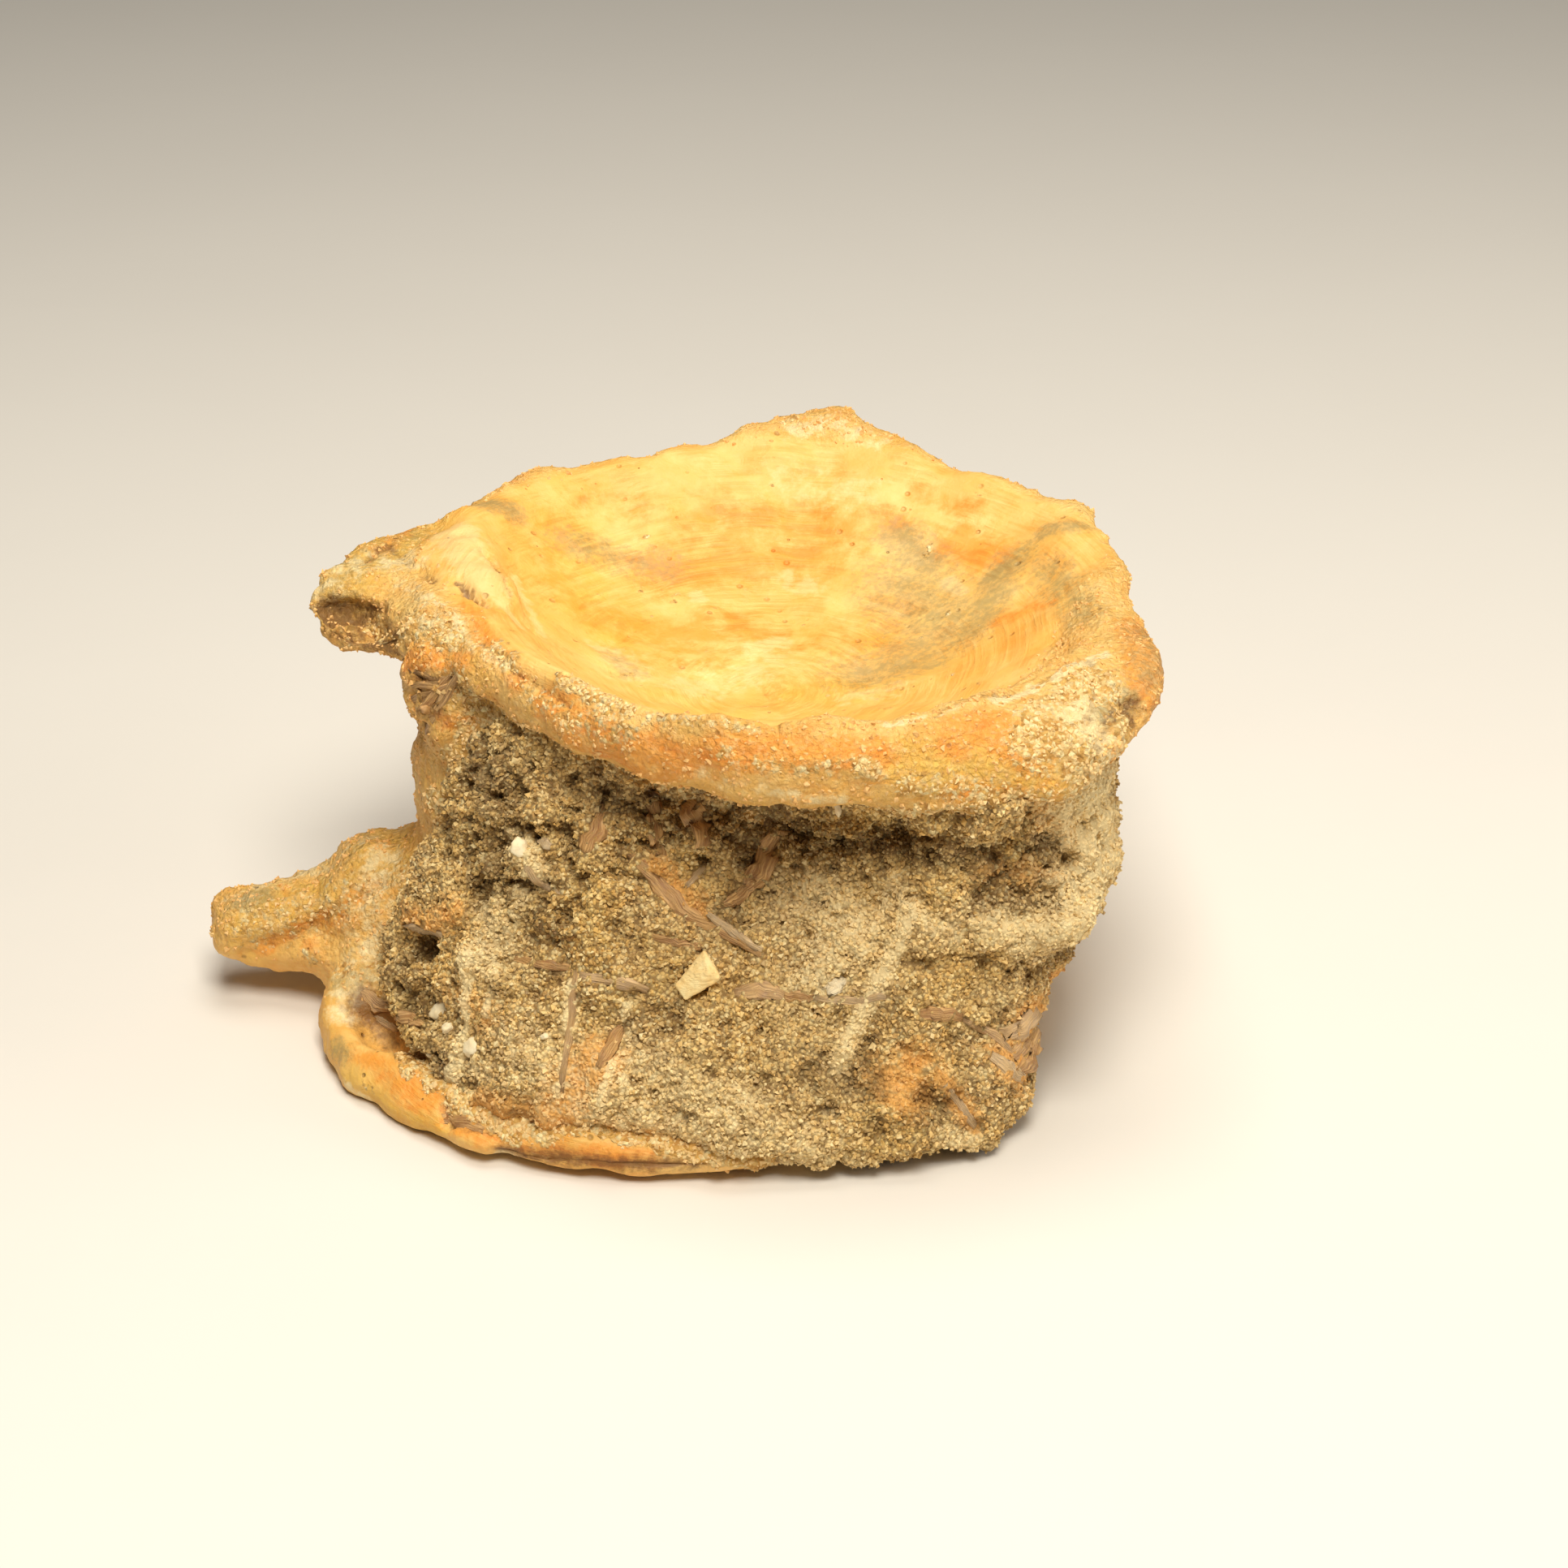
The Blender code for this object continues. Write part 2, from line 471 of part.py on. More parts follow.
def bone_hollows(home):
    """Everything that is broken or scooped out of the bone."""
    hollows = [
        stalk("spur_scoop", [((-23.6, 5.4, 26.9), 0.6), ((-22.2, 5.2, 26.5), 1.1),
                             ((-20.2, 4.4, 26.3), 1.3), ((-18.6, 3.2, 26.1), 0.8)], home, 10),
        stalk("spur_notch", [((-16.2, 17.4, 30.0), 0.5), ((-16.8, 15.0, 28.2), 0.5),
                             ((-16.0, 13.2, 28.6), 0.35)], home, 8),
        stalk("flake_step", [((-11.6, 9.6, 29.2), 0.45), ((-10.8, 6.6, 28.6), 0.5),
                             ((-9.8, 4.2, 28.0), 0.45)], home, 8),
        stalk("flake_hole", [((-13.4, 3.0, 28.9), 0.55), ((-12.5, 2.0, 28.4), 0.6),
                             ((-11.5, 1.1, 28.6), 0.4)], home, 8),
        stalk("pillar_cells", [((-17.9, -2.2, 24.8), 0.9), ((-17.2, -2.9, 23.0), 1.0),
                               ((-16.0, -3.9, 21.2), 0.8)], home, 10),
        stalk("wing_groove", [((-29.6, 0.5, 3.9), 0.6), ((-26.6, 0.2, 5.1), 1.0),
                              ((-23.8, -0.5, 6.3), 1.2), ((-21.4, -1.2, 8.6), 0.8)], home, 10),
        stalk("foot_cavity", FOOT_CAVITY, home, 12),
        pebble("foot_slot", (-17.0, -6.6, 9.0), (1.9, 1.6, 0.7), home),
        pebble("wing_pit", (-24.6, -0.4, 2.6), (0.6, 1.2, 0.6), home),
        limb("rim_crack", [((-14.9, -16.9, 2.6), (0.35, 0.1, 0.0), (0.0, 1.6, 0.0)),
                           ((-14.5, -16.4, -0.8), (0.6, 0.1, 0.0), (0.0, 1.9, 0.0))], home, 8),
        pebble("lip_bite", (26.6, -14.9, 25.6), (1.3, 1.4, 1.6), home),
        pebble("back_foramen", (0.4, 18.2, 14.5), (1.0, 2.0, 1.7), home),
        pebble("back_pit", (13.4, 15.6, 11.0), (1.0, 1.8, 1.2), home),
    ]
    return [as_cutter(hollow) for hollow in hollows]


def bone_relief(point):
    """Depth of the bone's coarse unevenness: smooth in the cup, rough on broken growths."""
    sideways = math.hypot(point.x - CUP_CENTRE[0], point.y - CUP_CENTRE[1])
    if point.z > 24.0 and sideways < 17.0:
        return 0.18
    if point.x < -18.5 or (point.x < -13.5 and point.z > 19.0):
        return 0.75
    return 0.5


def make_bone(home, cutters):
    """The vertebra as one fused solid with a flat foot."""
    bone = loft("vertebra", centrum_rings(), home)
    join_into(bone, bone_growths(home))
    fuse(bone, BONE_GRAIN)
    for hollow in bone_hollows(cutters):
        carve(bone, hollow)
    fuse(bone, BONE_GRAIN, 1)
    roughen(bone, bone_relief, 3.2, 1)
    thin_out(bone, BONE_TRIANGLES)
    carve(bone, as_cutter(slab_below("table_under_bone", 0.0, cutters)))
    keep_largest(bone)
    return bone


# ---------------------------------------------------------------- the matrix
def matrix_point(degrees, height, proud=0.0):
    """Point in mm on the matrix's outer skin."""
    levels = MATRIX_LEVELS
    upper = next((i for i, level in enumerate(levels) if level[0] >= height), len(levels) - 1)
    upper = max(upper, 1)
    low, high = levels[upper - 1], levels[upper]
    part = (height - low[0]) / (high[0] - low[0])
    radius = blend(around(low[1], degrees), around(high[1], degrees), part)
    return polar(WAIST_CENTRE, radius + proud, degrees, height)


def matrix_ridge(name, ends, radius, home):
    """Low ridge that lies half sunk in the matrix, from one (angle, height) to another."""
    (angle_a, height_a), (angle_b, height_b) = ends
    steps = 6
    run = [(matrix_point(blend(angle_a, angle_b, step / steps),
                         blend(height_a, height_b, step / steps), -0.2), radius)
           for step in range(steps + 1)]
    return stalk(name, run, home, 8)


def core_plug(home):
    """Cutter that fills both cups and the core between them, so no matrix is left in there."""
    angles = [360.0 * step / RING_STEPS for step in range(RING_STEPS)]

    def ring(centre, outline, part, height):
        return [polar(centre, around(outline, angle) * part, angle, height) for angle in angles]

    return as_cutter(loft("core_plug", [
        ring(FOOT_CENTRE, FOOT_RADIUS, 0.83, -2.0), ring(FOOT_CENTRE, FOOT_RADIUS, 0.83, 0.9),
        ring(FOOT_CENTRE, FOOT_RADIUS, 0.62, 4.4), ring(WAIST_CENTRE, WAIST_RADIUS, 0.8, 10.0),
        ring(WAIST_CENTRE, WAIST_RADIUS, 0.8, 21.0), ring(CUP_CENTRE, CREST_RADIUS, 0.9, 25.6),
        ring(CUP_CENTRE, CREST_RADIUS, 0.98, 30.0),
    ], home))


def make_matrix(bone, home, cutters):
    """The sandy fill of the waist, cut to the bone that it clings to."""
    angles = [360.0 * step / RING_STEPS for step in range(RING_STEPS)]
    rings = [[polar(WAIST_CENTRE, around(outline, angle), angle, height) for angle in angles]
             for height, outline in MATRIX_LEVELS]
    matrix = loft("matrix", rings, home)
    join_into(matrix, [
        matrix_ridge("pale_ridge", ((291.0, 17.0), (281.0, 5.5)), 0.75, home),
        matrix_ridge("left_ridge", ((222.0, 11.0), (233.0, 2.5)), 0.6, home),
        matrix_ridge("long_splinter", ((236.0, 12.4), (258.0, 12.2)), 0.5, home),
        pebble("right_boss", tuple(matrix_point(322.0, 14.5)), (2.4, 2.4, 2.0), home),
    ])
    fuse(matrix, MATRIX_GRAIN)
    hollows = [
        stalk("matrix_cavity", FOOT_CAVITY, cutters, 12),
        pebble("matrix_slot", (-16.6, -7.4, 9.2), (2.2, 1.7, 0.8), cutters),
        pebble("ledge_shadow", tuple(matrix_point(300.0, 21.4, 0.4)), (3.2, 1.6, 1.1), cutters),
        pebble("right_pit", tuple(matrix_point(315.0, 20.2, 0.5)), (1.8, 1.8, 1.0), cutters),
    ]
    for hollow in hollows:
        carve(matrix, as_cutter(hollow))
    fuse(matrix, MATRIX_GRAIN, 1)
    roughen(matrix, lambda point: 0.8, 5.0, 3)
    roughen(matrix, lambda point: 0.7, 2.2, 5)
    thin_out(matrix, MATRIX_TRIANGLES)
    carve(matrix, as_cutter(slab_below("table_under_matrix", MATRIX_LIFT, cutters)))
    carve(matrix, core_plug(cutters), "MANIFOLD")
    carve(matrix, grown_copy(bone, "bone_bed", cutters), "MANIFOLD")
    keep_largest(matrix)
    return matrix


def make_chip(matrix, home, cutters):
    """Loose wedge of bone, half sunk in a pocket in the matrix."""
    seat = matrix_point(260.0, 12.0, 0.35)
    mesh = bmesh.new()
    corners = ((0.4, 0.0, 1.9), (-1.5, -0.4, -0.5), (-0.8, -1.1, -1.3), (1.5, -0.9, 0.2),
               (0.7, -1.2, 0.9), (0.4, 0.9, 0.6), (-0.6, 0.8, -0.8), (0.6, 0.8, -0.5))
    for corner in corners:
        mesh.verts.new((seat + Vector(corner)) * MM)
    bmesh.ops.convex_hull(mesh, input=mesh.verts[:])
    chip = add_object("bone_chip", mesh, home)
    edge = chip.modifiers.new("worn_edges", "BEVEL")
    edge.width = 0.12 * MM
    edge.segments = 1
    settle(chip)
    carve(matrix, grown_copy(chip, "chip_bed", cutters))
    keep_largest(matrix)
    return chip


def main():
    for old in list(bpy.data.objects):
        bpy.data.objects.remove(old)
    home = collection("mosasaur_vertebra")
    cutters = collection("cutters")
    bone = make_bone(home, cutters)
    matrix = make_matrix(bone, home, cutters)
    chip = make_chip(matrix, home, cutters)
    finish_with(bone, "ochre_bone", (0.72, 0.44, 0.17), 0.62)
    finish_with(matrix, "sandy_matrix", (0.46, 0.33, 0.17), 0.95)
    finish_with(chip, "pale_bone", (0.78, 0.63, 0.38), 0.7)
    for piece in (*home.objects, *cutters.objects):
        piece.data.transform(Matrix.Translation(Vector(ORIGIN_SHIFT) * MM))


main()
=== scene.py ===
"""Looks of a fossil mosasaur vertebra: ochre bone, sandy matrix in its waist, a loose chip.

Lengths are in millimetres unless a name says otherwise, and places are about the frame's origin.
"""

import math

import bmesh
import bpy
import numpy as np
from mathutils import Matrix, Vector, noise
from mathutils.bvhtree import BVHTree


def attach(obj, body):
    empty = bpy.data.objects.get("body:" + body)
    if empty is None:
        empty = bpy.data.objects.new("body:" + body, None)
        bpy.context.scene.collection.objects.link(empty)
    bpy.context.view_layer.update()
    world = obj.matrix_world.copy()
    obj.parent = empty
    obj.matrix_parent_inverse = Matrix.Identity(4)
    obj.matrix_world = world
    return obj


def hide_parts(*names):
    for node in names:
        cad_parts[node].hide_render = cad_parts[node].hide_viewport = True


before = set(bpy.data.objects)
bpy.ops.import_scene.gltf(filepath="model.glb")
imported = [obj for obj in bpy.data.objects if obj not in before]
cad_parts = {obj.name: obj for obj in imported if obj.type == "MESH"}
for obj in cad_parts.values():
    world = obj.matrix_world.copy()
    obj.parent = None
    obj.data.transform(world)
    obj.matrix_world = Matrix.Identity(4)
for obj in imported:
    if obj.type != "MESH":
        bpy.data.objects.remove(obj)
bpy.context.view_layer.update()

MM = 0.001  # metres

# ---- the bone's own axes, mm
CUP_AXIS = (6.02, -2.65, 0.0)  # upright axis of the upper cup
FOOT_AXIS = (2.02, -6.65, 0.0)  # upright axis of the lower rim
CUP_REACH = 19.0  # the smooth cup ends about this far from its axis
FAR_REACH = 6.5  # and this much further at the far side
CUP_LOW = 20.5  # the cup lies above this height
LINE_CIRCLE = 18.0  # the run of growth lines is measured this far from their axis

# ---- the camera
VIEW_TARGET = Vector((7.22, -5.65, 16.835))
VIEW_RISE = math.radians(27.0)
VIEW_DISTANCE = 230.0
PICTURE_SIDE = 1932  # pixels
PIXELS_PER_MM = 19.4  # at the target

# ---- how fine the skins are
BONE_VOXEL = 0.35
MATRIX_VOXEL = 0.24
CHIP_VOXEL = 0.07
SKIN_EASING = 5  # rounds of smoothing that hide the facets
CHIP_EASING = 2  # fewer, as the chip stays sharp
GRAIN_SPACING = 0.3
GRAIN_RADIUS = 0.15
GRAINS_IN_A_PIECE = 20000
STRAY_GRAINS = 0.3  # share of a full bed of sand on open bone
SEAM_REACH = 0.9  # matrix this near the bone is drawn on to it
SEAM_OVERLAP = 0.12  # and ends this far inside it
BARE_BY_BONE = 0.12  # no grains of the matrix this near the bone
BARE_ROUND_BITS = 0.14  # no grains this near a splinter or flake
DUST_REACH = 1.7  # sand clings to bone this near the matrix
RANDOM_SEED = 7

# ---- marks on the bone
# Each mark is a painted stroke: half width in mm, strength, and pixels of the picture along it.
ORANGE_MARKS = dict(
    far_wall=(1.8, 0.7, (870, 640), (960, 645), (1050, 655)),
    far_wall_left=(1.2, 0.6, (720, 615), (790, 625)),
    cup_heart=(2.0, 0.8, (820, 705), (900, 690), (1000, 690)),
    cup_low=(1.5, 0.8, (745, 765), (850, 780), (905, 770)),
    cup_right=(1.2, 1.0, (1178, 665), (1222, 682)),
    cup_high_right=(0.8, 0.8, (1080, 640), (1110, 645)),
    cup_far_right=(0.8, 0.6, (1130, 610), (1200, 625)),
    cup_left_wall=(1.2, 0.6, (690, 640), (680, 720), (735, 765)),
    cup_near_right=(0.9, 0.6, (1240, 760), (1290, 745)),
    cup_near_band=(0.7, 0.6, (800, 815), (880, 815)),
    lip_left=(1.0, 0.9, (675, 866), (740, 900), (830, 935)),
    lip_front=(0.9, 1.0, (830, 935), (920, 922), (1000, 925), (1080, 930)),
    lip_low=(0.4, 0.9, (700, 912), (760, 938), (830, 958)),
    lip_right=(1.0, 1.2, (1180, 905), (1226, 892), (1258, 922)),
    lip_far_left=(0.5, 0.7, (576, 742), (600, 790), (640, 840)),
    right_bump=(1.3, 1.3, (1412, 780), (1420, 850)),
    ledge=(0.7, 0.8, (1180, 975), (1250, 985), (1310, 1000)),
    right_corner=(0.8, 0.6, (1290, 960), (1335, 1000)),
    cup_near=(2.2, 0.4, (800, 800), (950, 785), (1080, 800)),
    flange_top=(0.8, 0.75, (480, 1320), (520, 1350), (545, 1368)),
    flange_corner=(0.5, 0.8, (440, 1300), (470, 1312)),
    flange_front=(0.6, 0.8, (560, 1385), (600, 1400), (700, 1422), (800, 1430)),
    wing_groove=(0.5, 0.8, (320, 1165), (400, 1130), (470, 1090)),
    wing_under=(0.6, 0.6, (380, 1160), (440, 1120)),
    left_block=(0.8, 1.0, (508, 808), (565, 815)),
    block_line=(0.4, 1.0, (535, 888), (580, 892), (615, 886)),
    spur_back=(0.7, 0.6, (496, 652), (472, 676)),
)
CHALK_MARKS = dict(
    cup_near_wall=(1.4, 0.65, (845, 846), (900, 838), (950, 815)),
    cup_near_fleck=(0.7, 0.9, (930, 800), (960, 792)),
    cup_middle=(0.8, 0.7, (970, 715), (1000, 725)),
    cup_near_left=(1.2, 0.6, (745, 800), (790, 835)),
    cup_near_right=(1.0, 0.5, (1040, 860), (1100, 850)),
    cup_fleck=(0.4, 1.0, (858, 735), (862, 738)),
    cup_right_fleck=(0.5, 1.0, (1170, 718), (1182, 730)),
    crest_middle=(0.22, 0.75, (1090, 894), (1130, 888), (1160, 878), (1204, 866)),
    crest_right=(0.4, 1.3, (1229, 862), (1278, 844)),
    crest_far_right=(0.4, 1.3, (1300, 834), (1359, 808)),
    lip_dust_right=(1.2, 0.6, (1290, 880), (1330, 860), (1340, 920)),
    far_wall=(1.4, 0.5, (960, 592), (1060, 604)),
    far_rim=(0.8, 0.6, (980, 530), (1035, 520), (1080, 545)),
    flake=(1.1, 1.3, (560, 660), (580, 690), (602, 726)),
    spur_top=(1.4, 0.55, (385, 725), (430, 695), (505, 690)),
    wing_top=(1.2, 0.5, (300, 1110), (370, 1075), (440, 1040)),
    spur_neck=(0.7, 0.4, (500, 720), (530, 745), (520, 765)),
    flake_tail=(0.5, 0.9, (600, 722), (640, 772)),
    flake_side=(0.4, 0.7, (632, 712), (654, 754), (669, 784)),
    white_line=(0.22, 1.0, (530, 732), (550, 754), (570, 772)),
    lip_low_edge=(0.4, 0.45, (860, 955), (960, 978), (1040, 990)),
    left_rim=(0.5, 0.5, (540, 740), (580, 790), (620, 820)),
    right_corner=(1.5, 1.0, (1335, 880), (1348, 930), (1348, 990), (1352, 1060)),
    bite_edge=(0.6, 0.8, (1340, 880), (1372, 850)),
    wing_root=(1.4, 0.6, (470, 1060), (460, 1150), (425, 1235)),
    flange_edge=(0.35, 0.8, (412, 1340), (500, 1392), (560, 1412), (640, 1432)),
)
GREY_MARKS = dict(
    # cup_spot and cup_shadow_streak are painted shadow down the cup's steep right wall.
    cup_spot=(0.6, 1.0, (1218, 714), (1240, 696)),
    cup_shadow_streak=(1.3, 0.7, (1250, 690), (1222, 735), (1198, 775)),
    cup_left_of_streak=(0.7, 0.7, (1146, 760), (1181, 760)),
    cup_low_specks=(0.8, 0.7, (1063, 828), (1105, 822), (1143, 820)),
    cup_blotch=(1.2, 0.7, (1105, 660), (1145, 695)),
    cup_wide=(2.6, 0.58, (1120, 720), (1170, 780), (1080, 830)),
    rim_right=(1.2, 0.5, (1290, 700), (1340, 760)),
    spur_top=(1.6, 0.35, (410, 725), (450, 690), (510, 662)),
    far_right_rim=(0.7, 0.7, (1288, 655), (1330, 648)),
    cup_left=(1.2, 0.55, (700, 665), (740, 680), (820, 700)),
    cup_low=(0.9, 0.5, (755, 810), (775, 826)),
    rim_left=(0.8, 0.8, (595, 622), (632, 630)),
    right_bump=(1.3, 0.6, (1412, 780), (1420, 850)),
    # bite is grey painted shade in the broken hollow.
    bite=(0.8, 0.9, (1366, 878), (1390, 860)),
    wing_top=(0.6, 0.9, (298, 1112), (325, 1105)),
    wing_root=(0.8, 0.6, (420, 1210), (470, 1200)),
    flange_corner=(0.5, 0.7, (415, 1290), (425, 1300)),
)
YELLOW_MARKS = dict(
    wing=(2.6, 0.6, (300, 1140), (390, 1100), (470, 1050)),
    cup_left=(2.0, 0.6, (700, 660), (720, 720), (760, 780)),
    cup_spot=(0.8, 1.0, (1065, 792), (1088, 788)),
    cup_near_right=(1.6, 0.6, (1080, 850), (1000, 850)),
    spur=(2.0, 0.9, (410, 725), (450, 690), (520, 650)),
    lip_right_low=(1.0, 1.3, (1120, 950), (1200, 960), (1300, 972)),
    lip_right=(0.8, 0.9, (1090, 930), (1180, 922), (1260, 940)),
    flange_edge=(0.7, 0.8, (430, 1330), (480, 1372), (540, 1395)),
)
SAND_MARKS = dict(
    lip_left_end=(0.6, 0.7, (608, 796), (630, 818)),
    lip_left=(0.5, 1.0, (708, 846), (752, 868)),
    lip_spots_left=(0.35, 0.8, (766, 893), (778, 902)),
    lip_middle=(0.4, 0.6, (890, 925), (905, 940)),
    lip_lump=(0.5, 1.0, (1060, 944), (1074, 950)),
    lip_right=(1.0, 0.7, (1270, 890), (1318, 900), (1290, 925)),
    lip_far_right=(0.9, 0.7, (1320, 850), (1360, 835), (1385, 900)),
    lip_right_low=(0.9, 0.5, (1270, 945), (1350, 932)),
    block_cells=(1.1, 1.0, (562, 850), (602, 872)),
    spur_edge=(0.5, 0.7, (455, 770), (490, 795)),
    spur_neck=(0.9, 0.75, (500, 775), (530, 772), (560, 790)),
    crest_left=(0.4, 0.75, (690, 840), (735, 860), (780, 880)),
    crest_middle=(0.3, 0.6, (800, 886), (870, 890), (930, 900)),
    lip_spots=(0.4, 0.7, (735, 875), (752, 890)),
    lip_left_face=(0.7, 0.5, (650, 852), (700, 884), (760, 910)),
    lip_front_spots=(0.5, 0.5, (930, 940), (990, 952), (1030, 940)),
    wing_root=(0.9, 0.7, (500, 1080), (485, 1140), (470, 1190)),
    right_wall=(1.0, 0.6, (1352, 950), (1362, 1050)),
    ledge_under=(0.7, 0.9, (1040, 1008), (1120, 1012), (1230, 1018)),
    ledge_face=(0.8, 0.6, (1110, 965), (1200, 972), (1290, 985)),
    lip_right_grains=(1.1, 0.85, (1262, 915), (1300, 905), (1335, 950)),
    lip_right_top=(0.7, 0.8, (1285, 868), (1325, 850), (1350, 830)),
    corner_grains=(1.0, 0.85, (1325, 975), (1345, 1010), (1355, 1050)),
    wing=(1.4, 0.5, (310, 1140), (390, 1120), (450, 1100)),
    wing_edge=(0.5, 0.6, (380, 1180), (430, 1200)),
)
# Hollows, undersides and grooves, pushed in and browned as painted shade; flange_stain is a real
# stain.
HOLLOW_MARKS = dict(
    spur=(0.9, 1.0, (402, 748), (440, 772), (478, 792)),
    spur_low=(0.6, 0.7, (400, 778), (440, 795), (470, 802)),
    flake=(0.22, 0.9, (572, 730), (602, 749)),
    block_cells=(0.8, 0.8, (505, 845), (532, 882)),
    foot=(1.1, 1.0, (448, 1232), (482, 1262), (528, 1290)),
    bite=(0.5, 0.8, (1384, 866), (1400, 890)),
    block_sand=(0.8, 0.5, (558, 844), (598, 866)),
    wing_groove=(0.35, 0.4, (327, 1163), (400, 1134), (470, 1092)),
    flange_stain=(0.3, 0.5, (548, 1380), (600, 1396)),
    flange_under=(0.6, 1.0, (620, 1424), (710, 1435), (790, 1440), (860, 1440)),
)
# Cracks are pushed in and browned as painted shade.
CRACK_MARKS = dict(
    flake=(0.2, 1.0, (566, 718), (582, 735), (606, 750)),
    flake_edge=(0.16, 0.5, (566, 658), (606, 692), (632, 735), (658, 780)),
    crest_left=(0.22, 0.6, (590, 790), (640, 832), (700, 868)),
    block_1=(0.28, 0.9, (505, 830), (530, 838), (556, 840)),
    block_2=(0.28, 0.9, (505, 862), (530, 858), (556, 846)),
    block_3=(0.28, 0.9, (520, 895), (540, 876), (560, 852)),
    flange=(0.22, 1.0, (545, 1412), (552, 1388), (548, 1362)),
    spur=(0.25, 0.7, (505, 642), (480, 668), (452, 690)),
    spur_low=(0.3, 0.8, (402, 742), (440, 750), (470, 748)),
    bite=(0.3, 0.8, (1366, 888), (1384, 868), (1404, 858)),
    crest_right=(0.2, 0.5, (1150, 880), (1240, 856), (1330, 812)),
    lip_right_1=(0.25, 0.5, (1340, 812), (1352, 850), (1340, 890)),
    lip_right_2=(0.25, 0.5, (1372, 880), (1350, 925), (1342, 960)),
)
RAISED_MARKS = dict(
    flake=(1.2, 1.0, (560, 665), (580, 700), (604, 730)),
    flake_tail=(0.5, 0.8, (600, 730), (650, 786)),
    white_line=(0.2, 0.8, (530, 732), (550, 754), (570, 772)),
    lip_crest=(0.4, 1.3, (640, 812), (700, 838), (780, 874), (870, 888), (1000, 890)),
    lip_crest_right=(0.4, 1.3, (1000, 890), (1190, 866), (1270, 838), (1330, 806)),
    flange_rim=(0.5, 0.8, (408, 1212), (405, 1250), (410, 1290)),
    lip_lumps=(0.6, 1.5, (1060, 950), (1070, 944)),
)
BROKEN_MARKS = dict(
    spur_edge=(0.9, 0.8, (400, 765), (440, 785), (480, 800)),
    block=(2.2, 1.0, (500, 800), (535, 855), (580, 880)),
    wing=(2.8, 0.35, (290, 1140), (380, 1110), (470, 1060), (480, 1160)),
    ledge=(1.0, 0.9, (1080, 1000), (1200, 1005), (1310, 1010)),
    bite=(1.4, 0.8, (1380, 862), (1350, 910)),
)
# Sand on the bone in hollows; its grains are darkened as painted shade and dirt.
SHADED_SAND_MARKS = dict(
    block=(1.0, 0.85, (556, 838), (600, 868)),
    bite=(0.5, 0.6, (1372, 872), (1390, 862)),
)

# ---- marks on the matrix
MATRIX_CHALK_MARKS = dict(
    right_patch=(1.0, 0.8, (1216, 1140), (1280, 1146), (1338, 1130)),
    right_patch_low=(0.6, 0.8, (1250, 1160), (1310, 1170)),
    pale_ridge=(0.5, 1.0, (1128, 1118), (1098, 1176), (1070, 1236), (1034, 1310)),
    ridge_head=(0.7, 0.6, (1145, 1140), (1100, 1090), (1060, 1180)),
    left_line=(0.36, 1.4, (580, 1180), (574, 1250), (557, 1335)),
    left_line_beside=(0.26, 1.2, (610, 1188), (600, 1250)),
    low_wash=(2.2, 0.5, (640, 1290), (760, 1380), (900, 1410), (1000, 1420)),
    left_line_head=(0.8, 0.6, (590, 1165), (612, 1160), (600, 1188)),
    left_line_foot=(0.5, 0.7, (575, 1310), (600, 1320)),
    second_line=(0.35, 1.0, (708, 1214), (703, 1262), (690, 1345)),
    third_line=(0.26, 1.4, (768, 1330), (766, 1402)),
    fourth_line=(0.22, 1.2, (772, 1240), (752, 1320), (742, 1360)),
    upper_line=(0.5, 0.6, (642, 1098), (604, 1202)),
    low_dust=(1.6, 0.5, (770, 1300), (820, 1335), (910, 1365)),
    upper_left_fleck=(0.6, 1.0, (628, 1032), (652, 1052), (660, 1076)),
    upper_left_dust=(1.0, 0.6, (600, 1120), (618, 1160)),
    middle_dust=(2.0, 0.6, (1000, 1110), (1050, 1140), (1000, 1200)),
    right_dust=(1.0, 0.5, (1180, 1130), (1170, 1150)),
    # right_wall is real pale chalk, laid on strongly so that the right-facing wall is lighter:
    # partly painted light.
    right_wall=(2.4, 1.4, (1346, 945), (1356, 1000), (1356, 1060), (1350, 1100)),
    foot_dust=(0.8, 0.6, (1168, 1400), (1195, 1412)),
)
MATRIX_RUST_MARKS = dict(
    low_middle=(1.2, 1.0, (740, 1305), (708, 1335), (690, 1372)),
    low_edge=(1.0, 1.0, (600, 1365), (700, 1398), (800, 1412)),
    right=(1.1, 1.0, (1258, 1262), (1278, 1248)),
    right_fan=(1.0, 0.9, (1240, 1300), (1262, 1320)),
    low_right=(1.2, 0.8, (1098, 1330), (1120, 1350), (1130, 1310)),
    low_right_streak=(0.5, 0.9, (1160, 1330), (1182, 1360), (1202, 1388)),
    right_edge=(0.7, 1.0, (1292, 1212), (1322, 1186)),
    strut_foot=(0.7, 0.8, (812, 1070), (830, 1092), (862, 1118)),
    golden_end=(0.9, 0.45, (1285, 1002), (1320, 1020)),
    under_ledge=(0.6, 0.6, (1215, 1070), (1320, 1080)),
    wing_root=(0.8, 0.7, (500, 1130), (530, 1145), (560, 1120)),
    middle_left=(0.9, 0.5, (570, 1230), (600, 1250)),
)
ROUGH_MARKS = dict(
    upper_left=(2.6, 1.0, (560, 915), (610, 1000), (680, 1040), (600, 1080)),
    under_ledge=(1.6, 1.0, (1130, 1005), (1220, 1030), (1320, 1050)),
    under_lip=(1.4, 0.7, (760, 1000), (900, 1030), (1050, 1040)),
    left_heart=(1.4, 0.7, (470, 1190), (520, 1230)),
)
